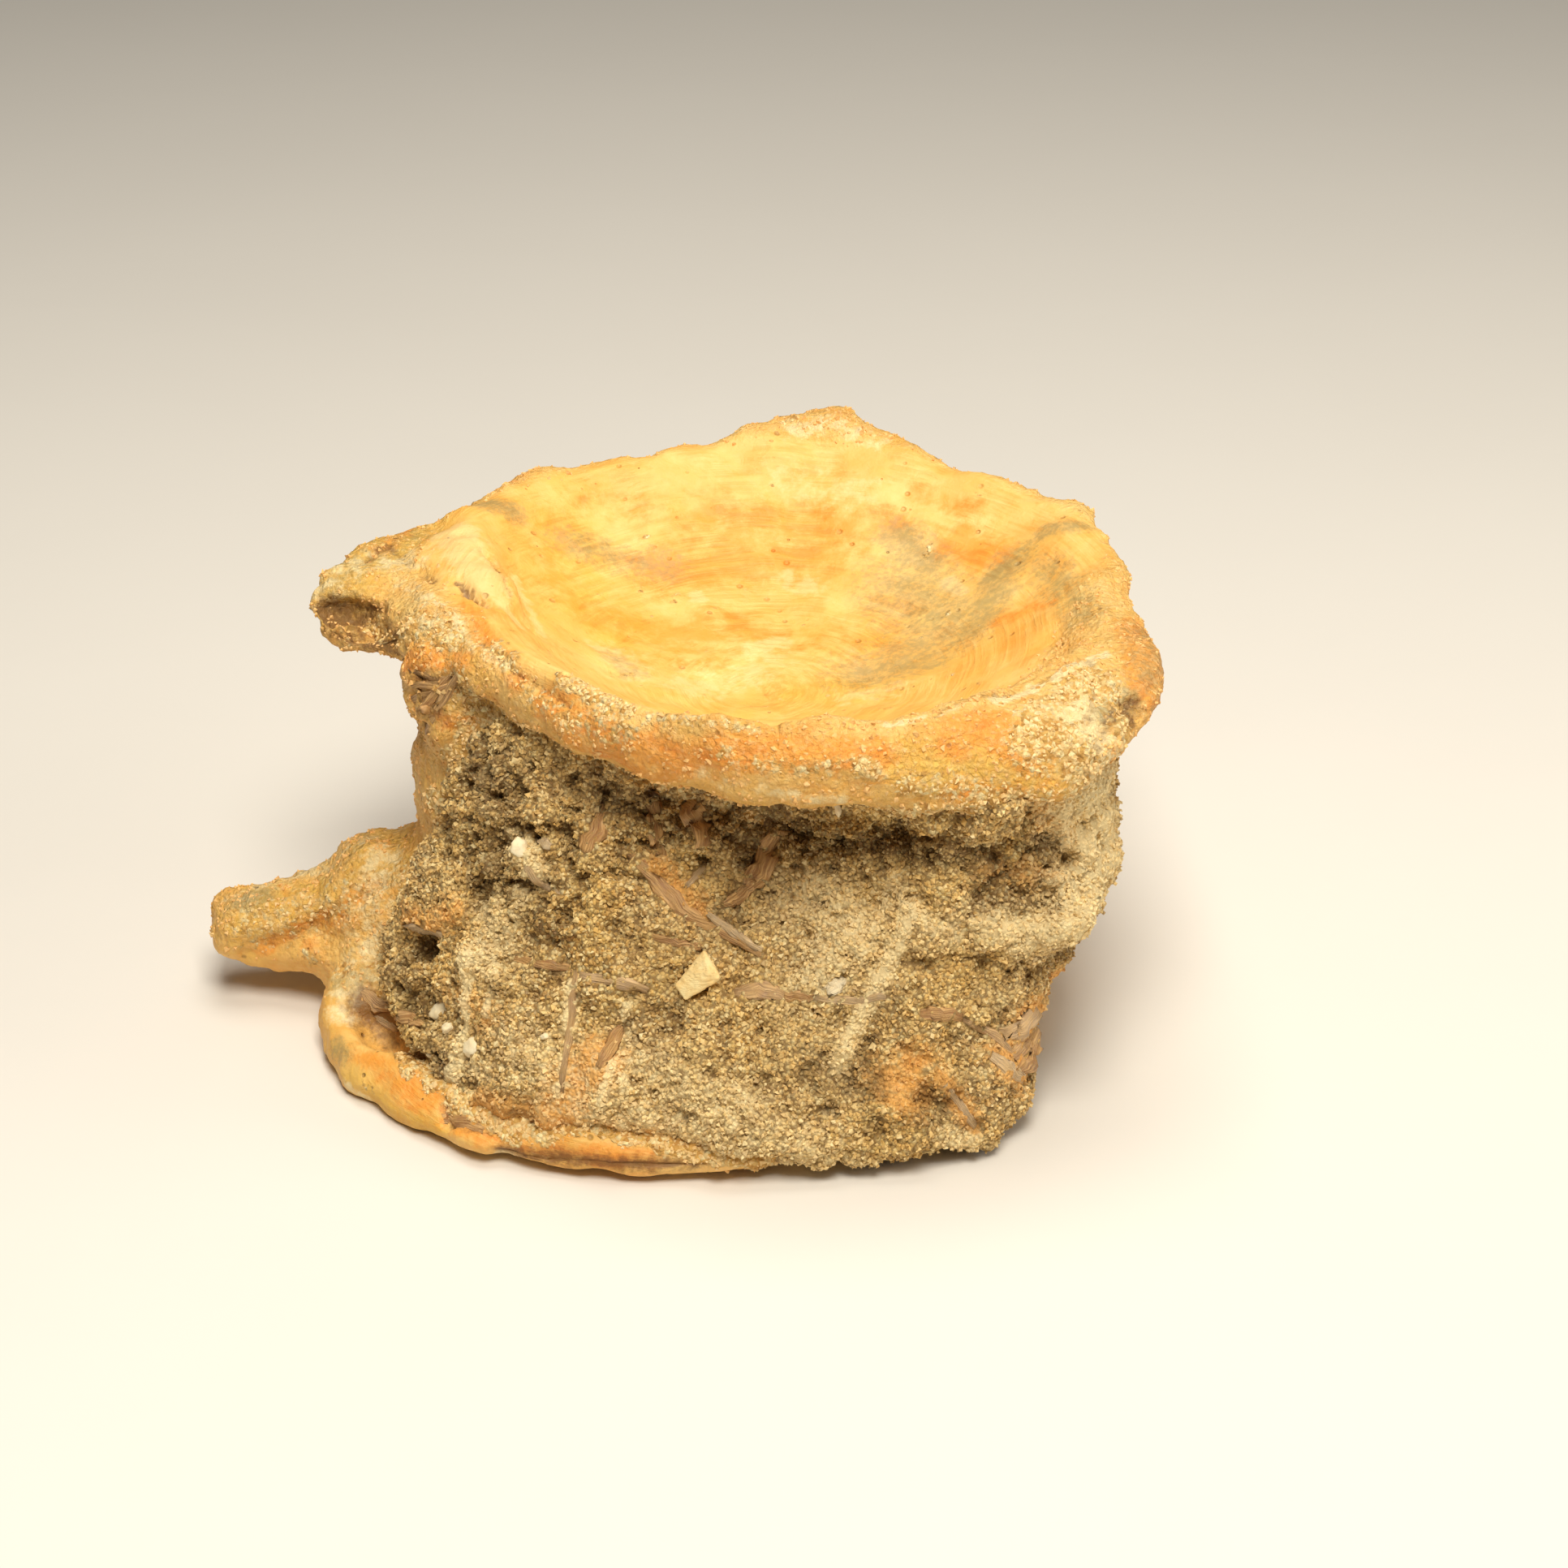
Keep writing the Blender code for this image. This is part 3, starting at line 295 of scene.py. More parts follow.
# Painted shade on the matrix: under the lip, step and ledge, and in its pits, slot and hollows,
# which are also pushed in.
MATRIX_SHADE_MARKS = dict(
    left_pit=(0.9, 1.0, (592, 962), (622, 978)),
    left_top=(1.0, 0.8, (565, 912), (585, 935)),
    left_mid=(0.8, 0.8, (622, 1030), (600, 1075), (640, 1098)),
    left_low=(0.8, 0.8, (648, 1132), (678, 1142)),
    slot=(0.45, 1.0, (498, 1182), (522, 1178), (546, 1166)),
    left_heart=(1.0, 0.6, (490, 1205), (512, 1222)),
    foot_hollow=(1.0, 1.0, (448, 1262), (470, 1280), (490, 1270)),
    foot_corner=(0.7, 0.9, (500, 1300), (545, 1315)),
    low_left=(0.5, 0.5, (580, 1338), (600, 1346)),
    low_mid=(0.6, 0.6, (628, 1365), (650, 1372)),
    low_right=(0.8, 0.8, (1140, 1358), (1165, 1352)),
    under_lip=(1.0, 0.8, (760, 985), (900, 1010), (1040, 1036)),
    under_step=(0.8, 1.0, (1040, 1036), (1120, 1042), (1190, 1052)),
    right_pit=(0.7, 1.0, (1272, 1040), (1300, 1046)),
    under_ledge=(1.0, 0.6, (1215, 1068), (1270, 1074), (1320, 1078)),
    right_pits=(0.8, 0.8, (1215, 1108), (1290, 1110), (1350, 1108)),
    right_low_pit=(0.7, 0.7, (1290, 1176), (1322, 1170)),
)

# ---- shards of bone in the matrix
# Half width and thickness in mm, tone from 0 pinkish brown to 1 pale, and pixels along it.
SHARDS = dict(
    long_left=(0.34, 0.24, 0.1, (636, 1181), (670, 1188), (705, 1195)),
    long_left_pale=(0.42, 0.24, 0.45, (712, 1200), (752, 1208), (798, 1220)),
    long_middle=(0.52, 0.28, 0.4, (905, 1222), (935, 1220), (966, 1226)),
    long_middle_end=(0.36, 0.24, 0.15, (966, 1226), (1001, 1229)),
    joint=(0.28, 0.2, 0.5, (1004, 1230), (1056, 1233), (1092, 1228)),
    middle_flake=(0.55, 0.35, 0.8, (1018, 1222), (1028, 1212), (1040, 1206)),
    long_right=(0.48, 0.26, 0.1, (1133, 1250), (1158, 1250), (1184, 1254)),
    long_right_end=(0.3, 0.2, 0.4, (1186, 1255), (1226, 1275), (1252, 1301)),
    edge_plate=(0.8, 0.4, 0.1, (1278, 1272), (1270, 1298), (1258, 1320)),
    fan_1=(0.75, 0.22, 0.45, (1236, 1275), (1258, 1268), (1280, 1246)),
    fan_2=(0.65, 0.22, 0.3, (1248, 1302), (1266, 1284), (1280, 1258)),
    fan_3=(0.5, 0.2, 0.5, (1222, 1302), (1246, 1318), (1262, 1330)),
    low_streak=(0.32, 0.2, 0.5, (1166, 1338), (1182, 1358), (1202, 1388)),
    low_blade=(0.4, 0.28, 0.1, (737, 1315), (752, 1290), (768, 1264)),
    cross_long=(0.5, 0.5, 0.3, (778, 1052), (812, 1088), (842, 1124), (890, 1150)),
    cross_long_low=(0.3, 0.26, 0.3, (880, 1144), (912, 1160), (944, 1180)),
    cross_pale=(0.3, 0.3, 0.55, (872, 1126), (905, 1150), (938, 1172)),
    cross_brown=(0.34, 0.26, 0.05, (804, 1153), (836, 1162), (864, 1166)),
    cross_short=(0.22, 0.2, 0.5, (845, 1094), (868, 1068)),
    strut_right=(0.85, 0.36, 0.2, (962, 1024), (944, 1056), (926, 1090)),
    strut_right_low=(0.45, 0.3, 0.05, (930, 1088), (912, 1104), (892, 1114)),
    strut_middle=(0.85, 0.4, 0.3, (848, 988), (862, 1012), (868, 1042)),
    strut_left=(0.6, 0.35, 0.1, (744, 990), (735, 1022), (718, 1050)),
    strut_high=(0.7, 0.35, 0.2, (800, 968), (808, 1010), (814, 1052)),
    hollow_1=(0.45, 0.25, 0.15, (484, 1252), (504, 1256), (520, 1262)),
    hollow_2=(0.28, 0.2, 0.5, (462, 1252), (476, 1262), (490, 1270)),
    hollow_3=(0.5, 0.22, 0.35, (448, 1222), (462, 1236), (478, 1242)),
    slot_edge=(0.32, 0.24, 0.5, (500, 1142), (522, 1146), (545, 1152)),
    upper_left=(0.3, 0.2, 0.6, (663, 1032), (678, 1044)),
    upper_left_low=(0.26, 0.2, 0.5, (648, 1068), (662, 1088), (692, 1100)),
    second_line=(0.26, 0.24, 0.4, (709, 1196), (703, 1262), (692, 1345)),
    low_flake=(0.5, 0.26, 0.15, (545, 1378), (570, 1386), (596, 1392)),
)
SHARD_ROWS = 9  # rings of corners along a shard
SHARD_SIDES = 8  # corners of each ring
CELL_HEART_PIXEL = (556, 838)  # the walls of the broken bone cells radiate from about here
CELL_SCATTER = 9  # pixels
CELL_WALL = (0.3, 0.25)  # half width and thickness in mm
CELL_ROWS = 6
CELL_RIM_PIXELS = ((492, 822), (493, 845), (498, 868), (508, 888), (524, 902))
# Rounded bits in the matrix: radii in mm, tone, pixel.
NODULES = dict(
    shell_1=((0.7, 0.45, 0.9), 1.0, (548, 1245)),
    shell_2=((0.4, 0.3, 0.4), 0.9, (552, 1267)),
    shell_3=((0.75, 0.45, 0.7), 1.0, (581, 1290)),
    shell_4=((0.2, 0.15, 0.25), 1.0, (529, 1300)),
    shell_5=((0.25, 0.18, 0.3), 0.9, (671, 1277)),
    white_fleck=((0.6, 0.3, 0.5), 1.0, (640, 1044)),
    brown=((0.3, 0.25, 0.4), 0.0, (524, 874)),
    under_lip_pale=((0.5, 0.25, 0.2), 0.9, (1032, 996)),
)


# ---- sight lines
def camera_stand():
    """Where the camera stands, in mm, and how it is turned."""
    back = Vector((0.0, -math.cos(VIEW_RISE), math.sin(VIEW_RISE)))
    return VIEW_TARGET + back * VIEW_DISTANCE, back.to_track_quat("Z", "Y")


def solid_tree(*bodies):
    """Search tree over the skins of some objects, in mm."""
    corners, faces = [], []
    for body in bodies:
        start = len(corners)
        corners += [vert.co / MM for vert in body.data.vertices]
        faces += [[start + index for index in face.vertices] for face in body.data.polygons]
    return BVHTree.FromPolygons(corners, faces)


def touch(tree, pixel):
    """Point in mm, and outward direction, where a pixel of the picture meets a skin."""
    stand, turn = camera_stand()
    depth = VIEW_DISTANCE * PIXELS_PER_MM
    aim = Vector((pixel[0] - PICTURE_SIDE / 2, PICTURE_SIDE / 2 - pixel[1], -depth))
    heading = (turn @ aim).normalized()
    spot, normal = tree.ray_cast(stand, heading)[:2]
    if spot is None:
        spot, normal = tree.find_nearest(stand + heading * VIEW_DISTANCE)[:2]
    return spot, normal


def along_pixels(tree, pixels, steps):
    """Touched points evenly along a run of pixels."""
    path = np.array(pixels, dtype=float)
    reach = np.linspace(0.0, len(path) - 1.0, steps)
    across, down = (np.interp(reach, range(len(path)), part) for part in path.T)
    return [touch(tree, pixel) for pixel in zip(across, down)]


# ---- skins as arrays
def places(body):
    """All points of a mesh in mm, one row each."""
    flat = np.empty(len(body.data.vertices) * 3)
    body.data.vertices.foreach_get("co", flat)
    return flat.reshape(-1, 3) / MM


def outward(body):
    """Outward direction at each point of a mesh."""
    flat = np.empty(len(body.data.vertices) * 3)
    body.data.vertex_normals.foreach_get("vector", flat)
    return flat.reshape(-1, 3)


def put_places(body, spots):
    """Move the points of a mesh to these places in mm."""
    body.data.vertices.foreach_set("co", (spots * MM).ravel())
    body.data.update()


def keep_value(body, name, values):
    """Store one number for each point of a mesh, for the materials."""
    layer = body.data.attributes.new(name, "FLOAT", "POINT")
    layer.data.foreach_set("value", np.asarray(values, dtype=np.float32))


def ease(values, low, high):
    """0 below low, 1 above high and smooth between; low may be the larger."""
    part = np.clip((values - low) / (high - low), 0.0, 1.0)
    return part * part * (3.0 - 2.0 * part)


def unevenness(spots, size, seed, octaves=3):
    """Smooth random field, about -1 to 1, whose lumps are about this size in mm."""
    shift = np.array((17.3, 5.1, 9.7)) * seed
    return np.array([noise.fractal(Vector(spot), 1.0, 2.0, octaves)
                     for spot in spots / size + shift])


def painted(spots, marks, tree):
    """Strength from 0 to 1 of a set of marks at each place."""
    cover = np.zeros(len(spots))
    for half_width, strength, *pixels in marks.values():
        knots = [np.array(touch(tree, pixel)[0]) for pixel in pixels]
        for start, end in zip(knots, knots[1:]):
            run = end - start
            share = np.clip((spots - start) @ run / max(run @ run, 1e-9), 0.0, 1.0)
            gap = np.linalg.norm(spots - start - share[:, None] * run, axis=1)
            cover = np.maximum(cover, strength * ease(gap, half_width * 2.4, 0.0))
    return cover


def nearness(spots, tree, reach):
    """1 on a skin, falling to 0 at a reach in mm from it."""
    gap_shade = [tree.find_nearest(Vector(spot), reach)[3] for spot in spots]
    return 1.0 - np.array([reach if gap is None else gap for gap in gap_shade]) / reach


# ---- making meshes
def object_of(name, data):
    """Object of the scene around a mesh, light or camera."""
    made = bpy.data.objects.new(name, data)
    bpy.context.scene.collection.objects.link(made)
    return made


def settle(body):
    """Replace an object's mesh by what its modifiers make of it."""
    graph = bpy.context.evaluated_depsgraph_get()
    made = bpy.data.meshes.new_from_object(body.evaluated_get(graph))
    body.modifiers.clear()
    body.data = made


def fine_skin(name, node, voxel, soften):
    """Even fine mesh over a node's solid, with its facets eased away."""
    skin = object_of(name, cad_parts[node].data.copy())
    even = skin.modifiers.new("even", "REMESH")
    even.mode = "VOXEL"
    even.voxel_size = voxel * MM
    easing = skin.modifiers.new("easing", "SMOOTH")
    easing.factor = 0.5
    easing.iterations = soften
    settle(skin)
    skin.data.materials.clear()
    skin.data.shade_smooth()
    return skin


def piece_of(name, corners, faces, finish):
    """Object of the scene from arrays of corners in mm and faces."""
    mesh = bpy.data.meshes.new(name)
    mesh.from_pydata(np.asarray(corners) * MM, [], faces)
    mesh.update()
    mesh.materials.append(finish)
    mesh.shade_smooth()
    piece = object_of(name, mesh)
    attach(piece, "root")
    return piece


def dress(skin, node, finish):
    """Let a fine skin stand for its node."""
    skin.data.materials.append(finish)
    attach(skin, "root")
    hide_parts(node)


# ---- the bone's surface
def cup_share(spots, normals):
    """1 in the smooth cup, 0 out of it."""
    off_axis = np.hypot(spots[:, 0] - CUP_AXIS[0], spots[:, 1] - CUP_AXIS[1])
    reach = CUP_REACH + FAR_REACH * ease(spots[:, 1] - CUP_AXIS[1], -6.0, 12.0)
    return (ease(off_axis - reach, 0.0, -2.0) * ease(normals[:, 2], 0.0, 0.35)
            * (spots[:, 2] > CUP_LOW))


def keep_above_floor(spots):
    """Keep relief from going below the floor, and the foot flat on it."""
    above_foot = ease(spots[:, 2], 0.1, 0.6)
    spots[:, 2] = np.maximum(spots[:, 2], 0.0) * above_foot + np.maximum(
        0.0, spots[:, 2] - 0.05) * (1.0 - above_foot)


def shape_bone(bone, solids, matrix_tree):
    """Relief and painted marks of the vertebra; gives how thick sand and stray grains lie."""
    spots, normals = places(bone), outward(bone)
    in_cup = cup_share(spots, normals)
    plain = 1.0 - in_cup
    upright = ease(np.abs(normals[:, 2]), 0.75, 0.4)
    waist = upright * ease(spots[:, 2], 4.5, 8.0) * ease(spots[:, 2], 25.0, 22.0)
    broken = painted(spots, BROKEN_MARKS, solids)
    broken = np.maximum(broken, 0.35 * ease(spots[:, 0], -19.0, -21.5))
    sand = painted(spots, SAND_MARKS, solids)
    caught = nearness(spots, matrix_tree, DUST_REACH) + 0.45 * unevenness(spots, size=1.6, seed=11)
    sand = np.maximum(sand, ease(caught, 0.15, 0.7))
    cracks = painted(spots, CRACK_MARKS, solids)
    shade_and_stain = painted(spots, HOLLOW_MARKS, solids)
    grit = unevenness(spots, size=0.55, seed=2)
    coarse = unevenness(spots, size=1.3, seed=3)
    streaks = unevenness(spots * np.array((1.0, 1.0, 0.13)), size=0.9, seed=4, octaves=2)
    ridges = 1.0 - 2.0 * np.abs(unevenness(spots, size=1.9, seed=5, octaves=2))
    worn_foot = 1.0 - 0.6 * ease(spots[:, 2], 7.0, 4.0)
    # From here on the numbers before each field are heights in mm.
    relief = plain * worn_foot * (0.07 * grit + 0.14 * coarse)
    relief += in_cup * (0.03 * coarse)
    relief += waist * (1.0 - sand) * 0.16 * streaks
    relief += broken * (0.18 * grit + 0.30 * coarse + 0.2 * ridges)
    relief += sand * (0.10 + 0.16 * grit) - 0.55 * cracks - 0.7 * shade_and_stain
    relief += 0.25 * painted(spots, RAISED_MARKS, solids)
    spots = spots + normals * relief[:, None]
    keep_above_floor(spots)
    put_places(bone, spots)
    values = {"in_cup": in_cup, "shade_and_stain": np.maximum(shade_and_stain, cracks), "sand": sand,
              "broken": broken, "orange": painted(spots, ORANGE_MARKS, solids),
              "chalk": painted(spots, CHALK_MARKS, solids),
              "grey": painted(spots, GREY_MARKS, solids),
              "yellow": painted(spots, YELLOW_MARKS, solids)}
    for name, value in values.items():
        keep_value(bone, name, value)
    stray = plain * ease(spots[:, 2], 3.0, 6.0) * STRAY_GRAINS * ease(coarse, -0.3, 0.6)
    return sand, stray


def shape_matrix(matrix, solids, bone_tree):
    """Relief and marks of the sandy fill; gives the marks and how thick loose sand lies."""
    spots, normals = places(matrix), outward(matrix)
    rough = painted(spots, ROUGH_MARKS, solids)
    painted_shade = painted(spots, MATRIX_SHADE_MARKS, solids)
    rust = painted(spots, MATRIX_RUST_MARKS, solids)
    chalk = painted(spots, MATRIX_CHALK_MARKS, solids)
    lumps = unevenness(spots, size=1.7, seed=6)
    crumbs = unevenness(spots, size=0.7, seed=7, octaves=2)
    relief = (0.36 + 0.34 * rough) * lumps + (0.22 + 0.3 * rough) * (1.0 - 0.7 * rust) * crumbs
    pits = ease(unevenness(spots, size=1.2, seed=12, octaves=2), 0.12, 0.42) * (0.35 + 0.85 * rough)
    relief += (0.45 * unevenness(spots, size=4.5, seed=13, octaves=2)
               - 0.9 * pits * (1.0 - 0.8 * rust))
    relief += 0.3 * chalk - 0.9 * painted_shade * ease(lumps, 0.35, -0.2)
    # Near the bone the relief fades and the fill is drawn on to it.
    seam = nearness(spots, bone_tree, SEAM_REACH)
    # recess_shade is painted shade in the low places of the relief; it joins the marked painted
    # shade.
    recess_shade = ease(relief, 0.0, -0.65) * (1.0 - seam)
    spots = spots + normals * (relief * (1.0 - seam))[:, None]
    for index in np.nonzero(seam > 0.0)[0]:
        spot, _normal, _face, gap = bone_tree.find_nearest(Vector(spots[index]), SEAM_REACH)
        if spot is not None and gap > 0.0:
            pull = (np.array(spot) - spots[index]) / gap * (gap + SEAM_OVERLAP)
            spots[index] += pull * ease(np.array(gap), SEAM_REACH, 0.3)
    spots[:, 2] = np.maximum(spots[:, 2], 0.02)
    put_places(matrix, spots)
    values = {"chalk": chalk, "rust": rust, "painted_shade": np.maximum(painted_shade, 0.75 * recess_shade)}
    for name, value in values.items():
        keep_value(matrix, name, value)
    thick = np.maximum(rough, 1.0 - 0.85 * np.maximum(rust, 0.6 * chalk))
    return values, thick


# ---- sand grains
def scatter(skin, amount, draws):
    """Spaced grains over a skin, as thick as amount says: places, directions, corners."""
    skin.data.calc_loop_triangles()
    corners = np.empty(len(skin.data.loop_triangles) * 3, dtype=np.int32)
    skin.data.loop_triangles.foreach_get("vertices", corners)
    corners = corners.reshape(-1, 3)
    spots, normals = places(skin), outward(skin)
    sides = spots[corners[:, 1:]] - spots[corners[:, :1]]
    area = 0.5 * np.linalg.norm(np.cross(sides[:, 0], sides[:, 1]), axis=1)
    weight = area * amount[corners].mean(axis=1)
    count = int(2.2 * weight.sum() / GRAIN_SPACING ** 2)
    picks = draws.choice(len(corners), count, p=weight / weight.sum())
    share = draws.random((count, 2))
    share = np.where(share.sum(axis=1, keepdims=True) > 1.0, 1.0 - share, share)
    share = np.column_stack((1.0 - share.sum(axis=1), share))[:, :, None]
    where = (spots[corners[picks]] * share).sum(axis=1)
    facing = (normals[corners[picks]] * share).sum(axis=1)
    boxes = np.floor(where / GRAIN_SPACING).astype(int)
    first = np.unique(boxes, axis=0, return_index=True)[1]
    return where[first], facing[first], corners[picks[first], 0]


def outside(where, tree, clear):
    """True for places that are clear of a solid by at least this many mm."""
    free = []
    for spot in where:
        near, normal, _face, gap = tree.find_nearest(Vector(spot))
        free.append((Vector(spot) - near).dot(normal) > 0.0 and gap > clear)
    return np.array(free)


def turns(count, draws):
    """Random rotation matrices."""
    spins = draws.normal(size=(count, 4))
    w, x, y, z = (spins / np.linalg.norm(spins, axis=1, keepdims=True)).T
    rows = ((1 - 2 * (y * y + z * z), 2 * (x * y - z * w), 2 * (x * z + y * w)),
            (2 * (x * y + z * w), 1 - 2 * (x * x + z * z), 2 * (y * z - x * w)),
            (2 * (x * z - y * w), 2 * (y * z + x * w), 1 - 2 * (x * x + y * y)))
    return np.moveaxis(np.array(rows), 2, 0)


# One angular grain, an eight-sided crystal.
GRAIN_CORNERS = np.array(((1.0, 0.0, 0.0), (-1.0, 0.0, 0.0), (0.0, 1.0, 0.0),
                          (0.0, -1.0, 0.0), (0.0, 0.0, 1.0), (0.0, 0.0, -1.0)))
GRAIN_FACES = np.array(((0, 2, 4), (2, 1, 4), (1, 3, 4), (3, 0, 4),
                        (2, 0, 5), (1, 2, 5), (3, 1, 5), (0, 3, 5)))


def sand_pieces(name, where, facing, values, finish, draws, darkest, proud):
    """Joined meshes of sand grains, half sunk where they lie, each grain with its own values."""
    count, knob_count = len(where), len(GRAIN_CORNERS)
    radii = GRAIN_RADIUS * draws.normal(1.0, 0.22, (count, 1)).clip(0.5, 1.6)
    radii = radii * draws.uniform(0.75, 1.25, (count, 3))
    knobs = GRAIN_CORNERS[None] + draws.uniform(-0.3, 0.3, (count, knob_count, 3))
    knobs = knobs * radii[:, None, :]
    knobs = np.einsum("nij,nkj->nki", turns(count, draws), knobs)
    lift = draws.uniform(-0.6, proud, (count, 1)) * GRAIN_RADIUS
    knobs = knobs + (where + facing * lift)[:, None, :]
    knobs[:, :, 2] = np.maximum(knobs[:, :, 2], 0.0)
    values = dict(values, tone=draws.uniform(darkest, 1.0, count))
    for part, start in enumerate(range(0, count, GRAINS_IN_A_PIECE), 1):
        some = slice(start, start + GRAINS_IN_A_PIECE)
        offsets = np.arange(len(knobs[some]))[:, None, None] * knob_count
        piece = piece_of(f"{name}_{part}", knobs[some].reshape(-1, 3),
                         (GRAIN_FACES[None] + offsets).reshape(-1, 3), finish)
        piece.data.shade_flat()
        for label, each in values.items():
            keep_value(piece, label, np.repeat(each[some], knob_count))


# ---- shards and nodules
class Gathered:
    """Corners, faces and values of many small shapes that become one piece."""

    def __init__(self):
        self.corners, self.faces, self.tone, self.across, self.along = [], [], [], [], []

    def add(self, corners, faces, tone, across, along):
        """One shape more."""
        start = len(self.corners)
        self.corners += [tuple(corner) for corner in corners]
        self.faces += [tuple(start + index for index in face) for face in faces]
        self.tone += [tone] * len(corners)
        self.across += list(across)
        self.along += list(along)

    def piece(self, name, finish):
        """All the shapes as one piece."""
        made = piece_of(name, self.corners, self.faces, finish)
        for label in ("tone", "across", "along"):
            keep_value(made, label, getattr(self, label))
        return made


def add_shard(home, path, half_width, thickness, tone, draws):
    """Flat splinter of bone along touched points, torn at both ends and half sunk."""
    centres = [np.array(spot) for spot, _normal in path]
    last = len(path) - 1
    corners, across, along = [], [], []
    length = 0.0
    for index, centre in enumerate(centres):
        heading = centres[min(index + 1, last)] - centres[max(index - 1, 0)]
        heading = heading / np.linalg.norm(heading)
        side = np.cross(np.array(path[index][1]), heading)
        side = side / np.linalg.norm(side)
        up = np.cross(heading, side)
        part = index / last
        swell = 0.35 + 0.65 * math.sin(math.pi * (0.12 + 0.76 * part))
        length += np.linalg.norm(centre - centres[max(index - 1, 0)])
        sway = half_width * draws.uniform(-0.15, 0.15)
        tilt = thickness * draws.uniform(-0.3, 0.0)
        for step in range(SHARD_SIDES):
            turn = math.tau * step / SHARD_SIDES
            wide = 1.1 * half_width * swell * math.cos(turn) * draws.uniform(0.75, 1.25)
            flat = min(1.0, max(-1.0, 2.0 * math.sin(turn)))
            high = 0.5 * thickness * swell * flat * draws.uniform(0.8, 1.2)
            skew = heading * half_width * 0.9 * math.cos(turn) * draws.uniform(-0.6, 0.6)
            corners.append(centre + side * (wide + sway) + up * (high + tilt) + skew)
            across.append(math.cos(turn))
            along.append(length)
    rings = np.arange(len(corners)).reshape(-1, SHARD_SIDES).tolist()
    faces = [rings[0][::-1]]
    for ring, beyond in zip(rings, rings[1:]):
        faces += zip(ring, ring[1:] + ring[:1], beyond[1:] + beyond[:1], beyond)
    faces.append(rings[-1])
    home.add(corners, faces, tone, across, along)


def add_nodule(home, spot, radii, tone, draws):
    """Rounded bit, half sunk at a touched point."""
    mesh = bmesh.new()
    bmesh.ops.create_icosphere(mesh, subdivisions=3, radius=1.0)
    turn = turns(1, draws)[0]
    swing = Vector((draws.uniform(0, 50), 0.0, 0.0))
    corners = []
    for vert in mesh.verts:
        bump = 1.0 + 0.35 * noise.noise(vert.co * 1.6 + swing)
        corners.append(np.array(spot) + turn @ (np.array(vert.co) * radii) * bump)
    faces = [[vert.index for vert in face.verts] for face in mesh.faces]
    home.add(corners, faces, tone, np.zeros(len(corners)), np.zeros(len(corners)))
    mesh.free()


def bone_shards(tree, finish, draws):
    """Every splinter and strut of bone that shows in the matrix."""
    home = Gathered()
    for half_width, thickness, tone, *pixels in SHARDS.values():
        path = along_pixels(tree, pixels, SHARD_ROWS)
        add_shard(home, path, half_width, thickness, tone, draws)
    for rim in CELL_RIM_PIXELS:
        heart = np.array(CELL_HEART_PIXEL) + draws.uniform(-CELL_SCATTER, CELL_SCATTER, 2)
        path = along_pixels(tree, (heart, rim), CELL_ROWS)
        add_shard(home, path, *CELL_WALL, draws.uniform(0.1, 0.4), draws)
    return home.piece("bone_shards", finish)


def nodules(tree, finish, draws):
    """Shell flakes, beads and brown nodules."""
    home = Gathered()
    for radii, tone, pixel in NODULES.values():
        add_nodule(home, touch(tree, pixel)[0], np.array(radii), tone, draws)
    return home.piece("nodules", finish)


# ---- colours
def colour(red, green, blue):
    """Linear colour from the 0 to 255 values of a paint card."""
    return tuple((part / 255.0) ** 2.2 for part in (red, green, blue)) + (1.0,)


BONE_OCHRE = colour(236, 184, 94)
BONE_CREAM = colour(250, 210, 132)
BONE_ORANGE = colour(243, 159, 56)
BONE_YELLOW = colour(232, 184, 80)
BONE_GREY = colour(142, 134, 92)
BONE_BROWN = colour(98, 58, 24)
CHALK_WHITE = colour(252, 228, 172)
SAND_DARK = colour(98, 68, 32)
SAND_STRAW = colour(226, 178, 96)
SAND_LIGHT = colour(254, 234, 174)
SAND_DUST = colour(240, 202, 120)
SAND_RUST = colour(238, 166, 80)
SAND_SHADE = colour(92, 64, 32)
SAND_WARM = colour(190, 138, 70)
SAND_PALE = colour(208, 182, 132)
GRAIN_BROWN = colour(150, 108, 58)
GRAIN_PALE = colour(246, 214, 148)
GRAIN_CREAM = colour(255, 238, 184)
SHARD_BROWN = colour(148, 100, 60)
SHARD_PINK = colour(220, 174, 116)
SHELL_CREAM = colour(246, 232, 194)
CHIP_STRAW = colour(250, 208, 132)
CHIP_CREAM = colour(255, 232, 170)
PAPER = colour(228, 222, 212)
PAPER_GREY = colour(221, 215, 205)


# ---- wiring of materials
class Wire:
    """Output of a shader node, reckoned with like a number."""

    def __init__(self, socket):
        self.socket = socket
        self.tree = socket.id_data

    def __add__(self, other):
        return reckon("ADD", self, other)

    def __sub__(self, other):
        return reckon("SUBTRACT", self, other)

    def __rsub__(self, other):
        return reckon("SUBTRACT", other, self)

    def __mul__(self, other):
        return reckon("MULTIPLY", self, other)

    def __truediv__(self, other):
        return reckon("DIVIDE", self, other)

    def __rtruediv__(self, other):
        return reckon("DIVIDE", other, self)


def put(tree, kind, inputs=None, **settings):
    """New shader node, with its settings made and its inputs set or linked."""
    node = tree.nodes.new("ShaderNode" + kind)
    for name, value in settings.items():
        setattr(node, name, value)
    for name, value in (inputs or {}).items():
        if isinstance(value, Wire):
            tree.links.new(value.socket, node.inputs[name])
        else:
            node.inputs[name].default_value = value
    return node


def reckon(operation, first, second):
    """What a Math node makes of two values, at least one of them a wire."""
    tree = (first if isinstance(first, Wire) else second).tree
    return Wire(put(tree, "Math", {0: first, 1: second}, operation=operation).outputs[0])


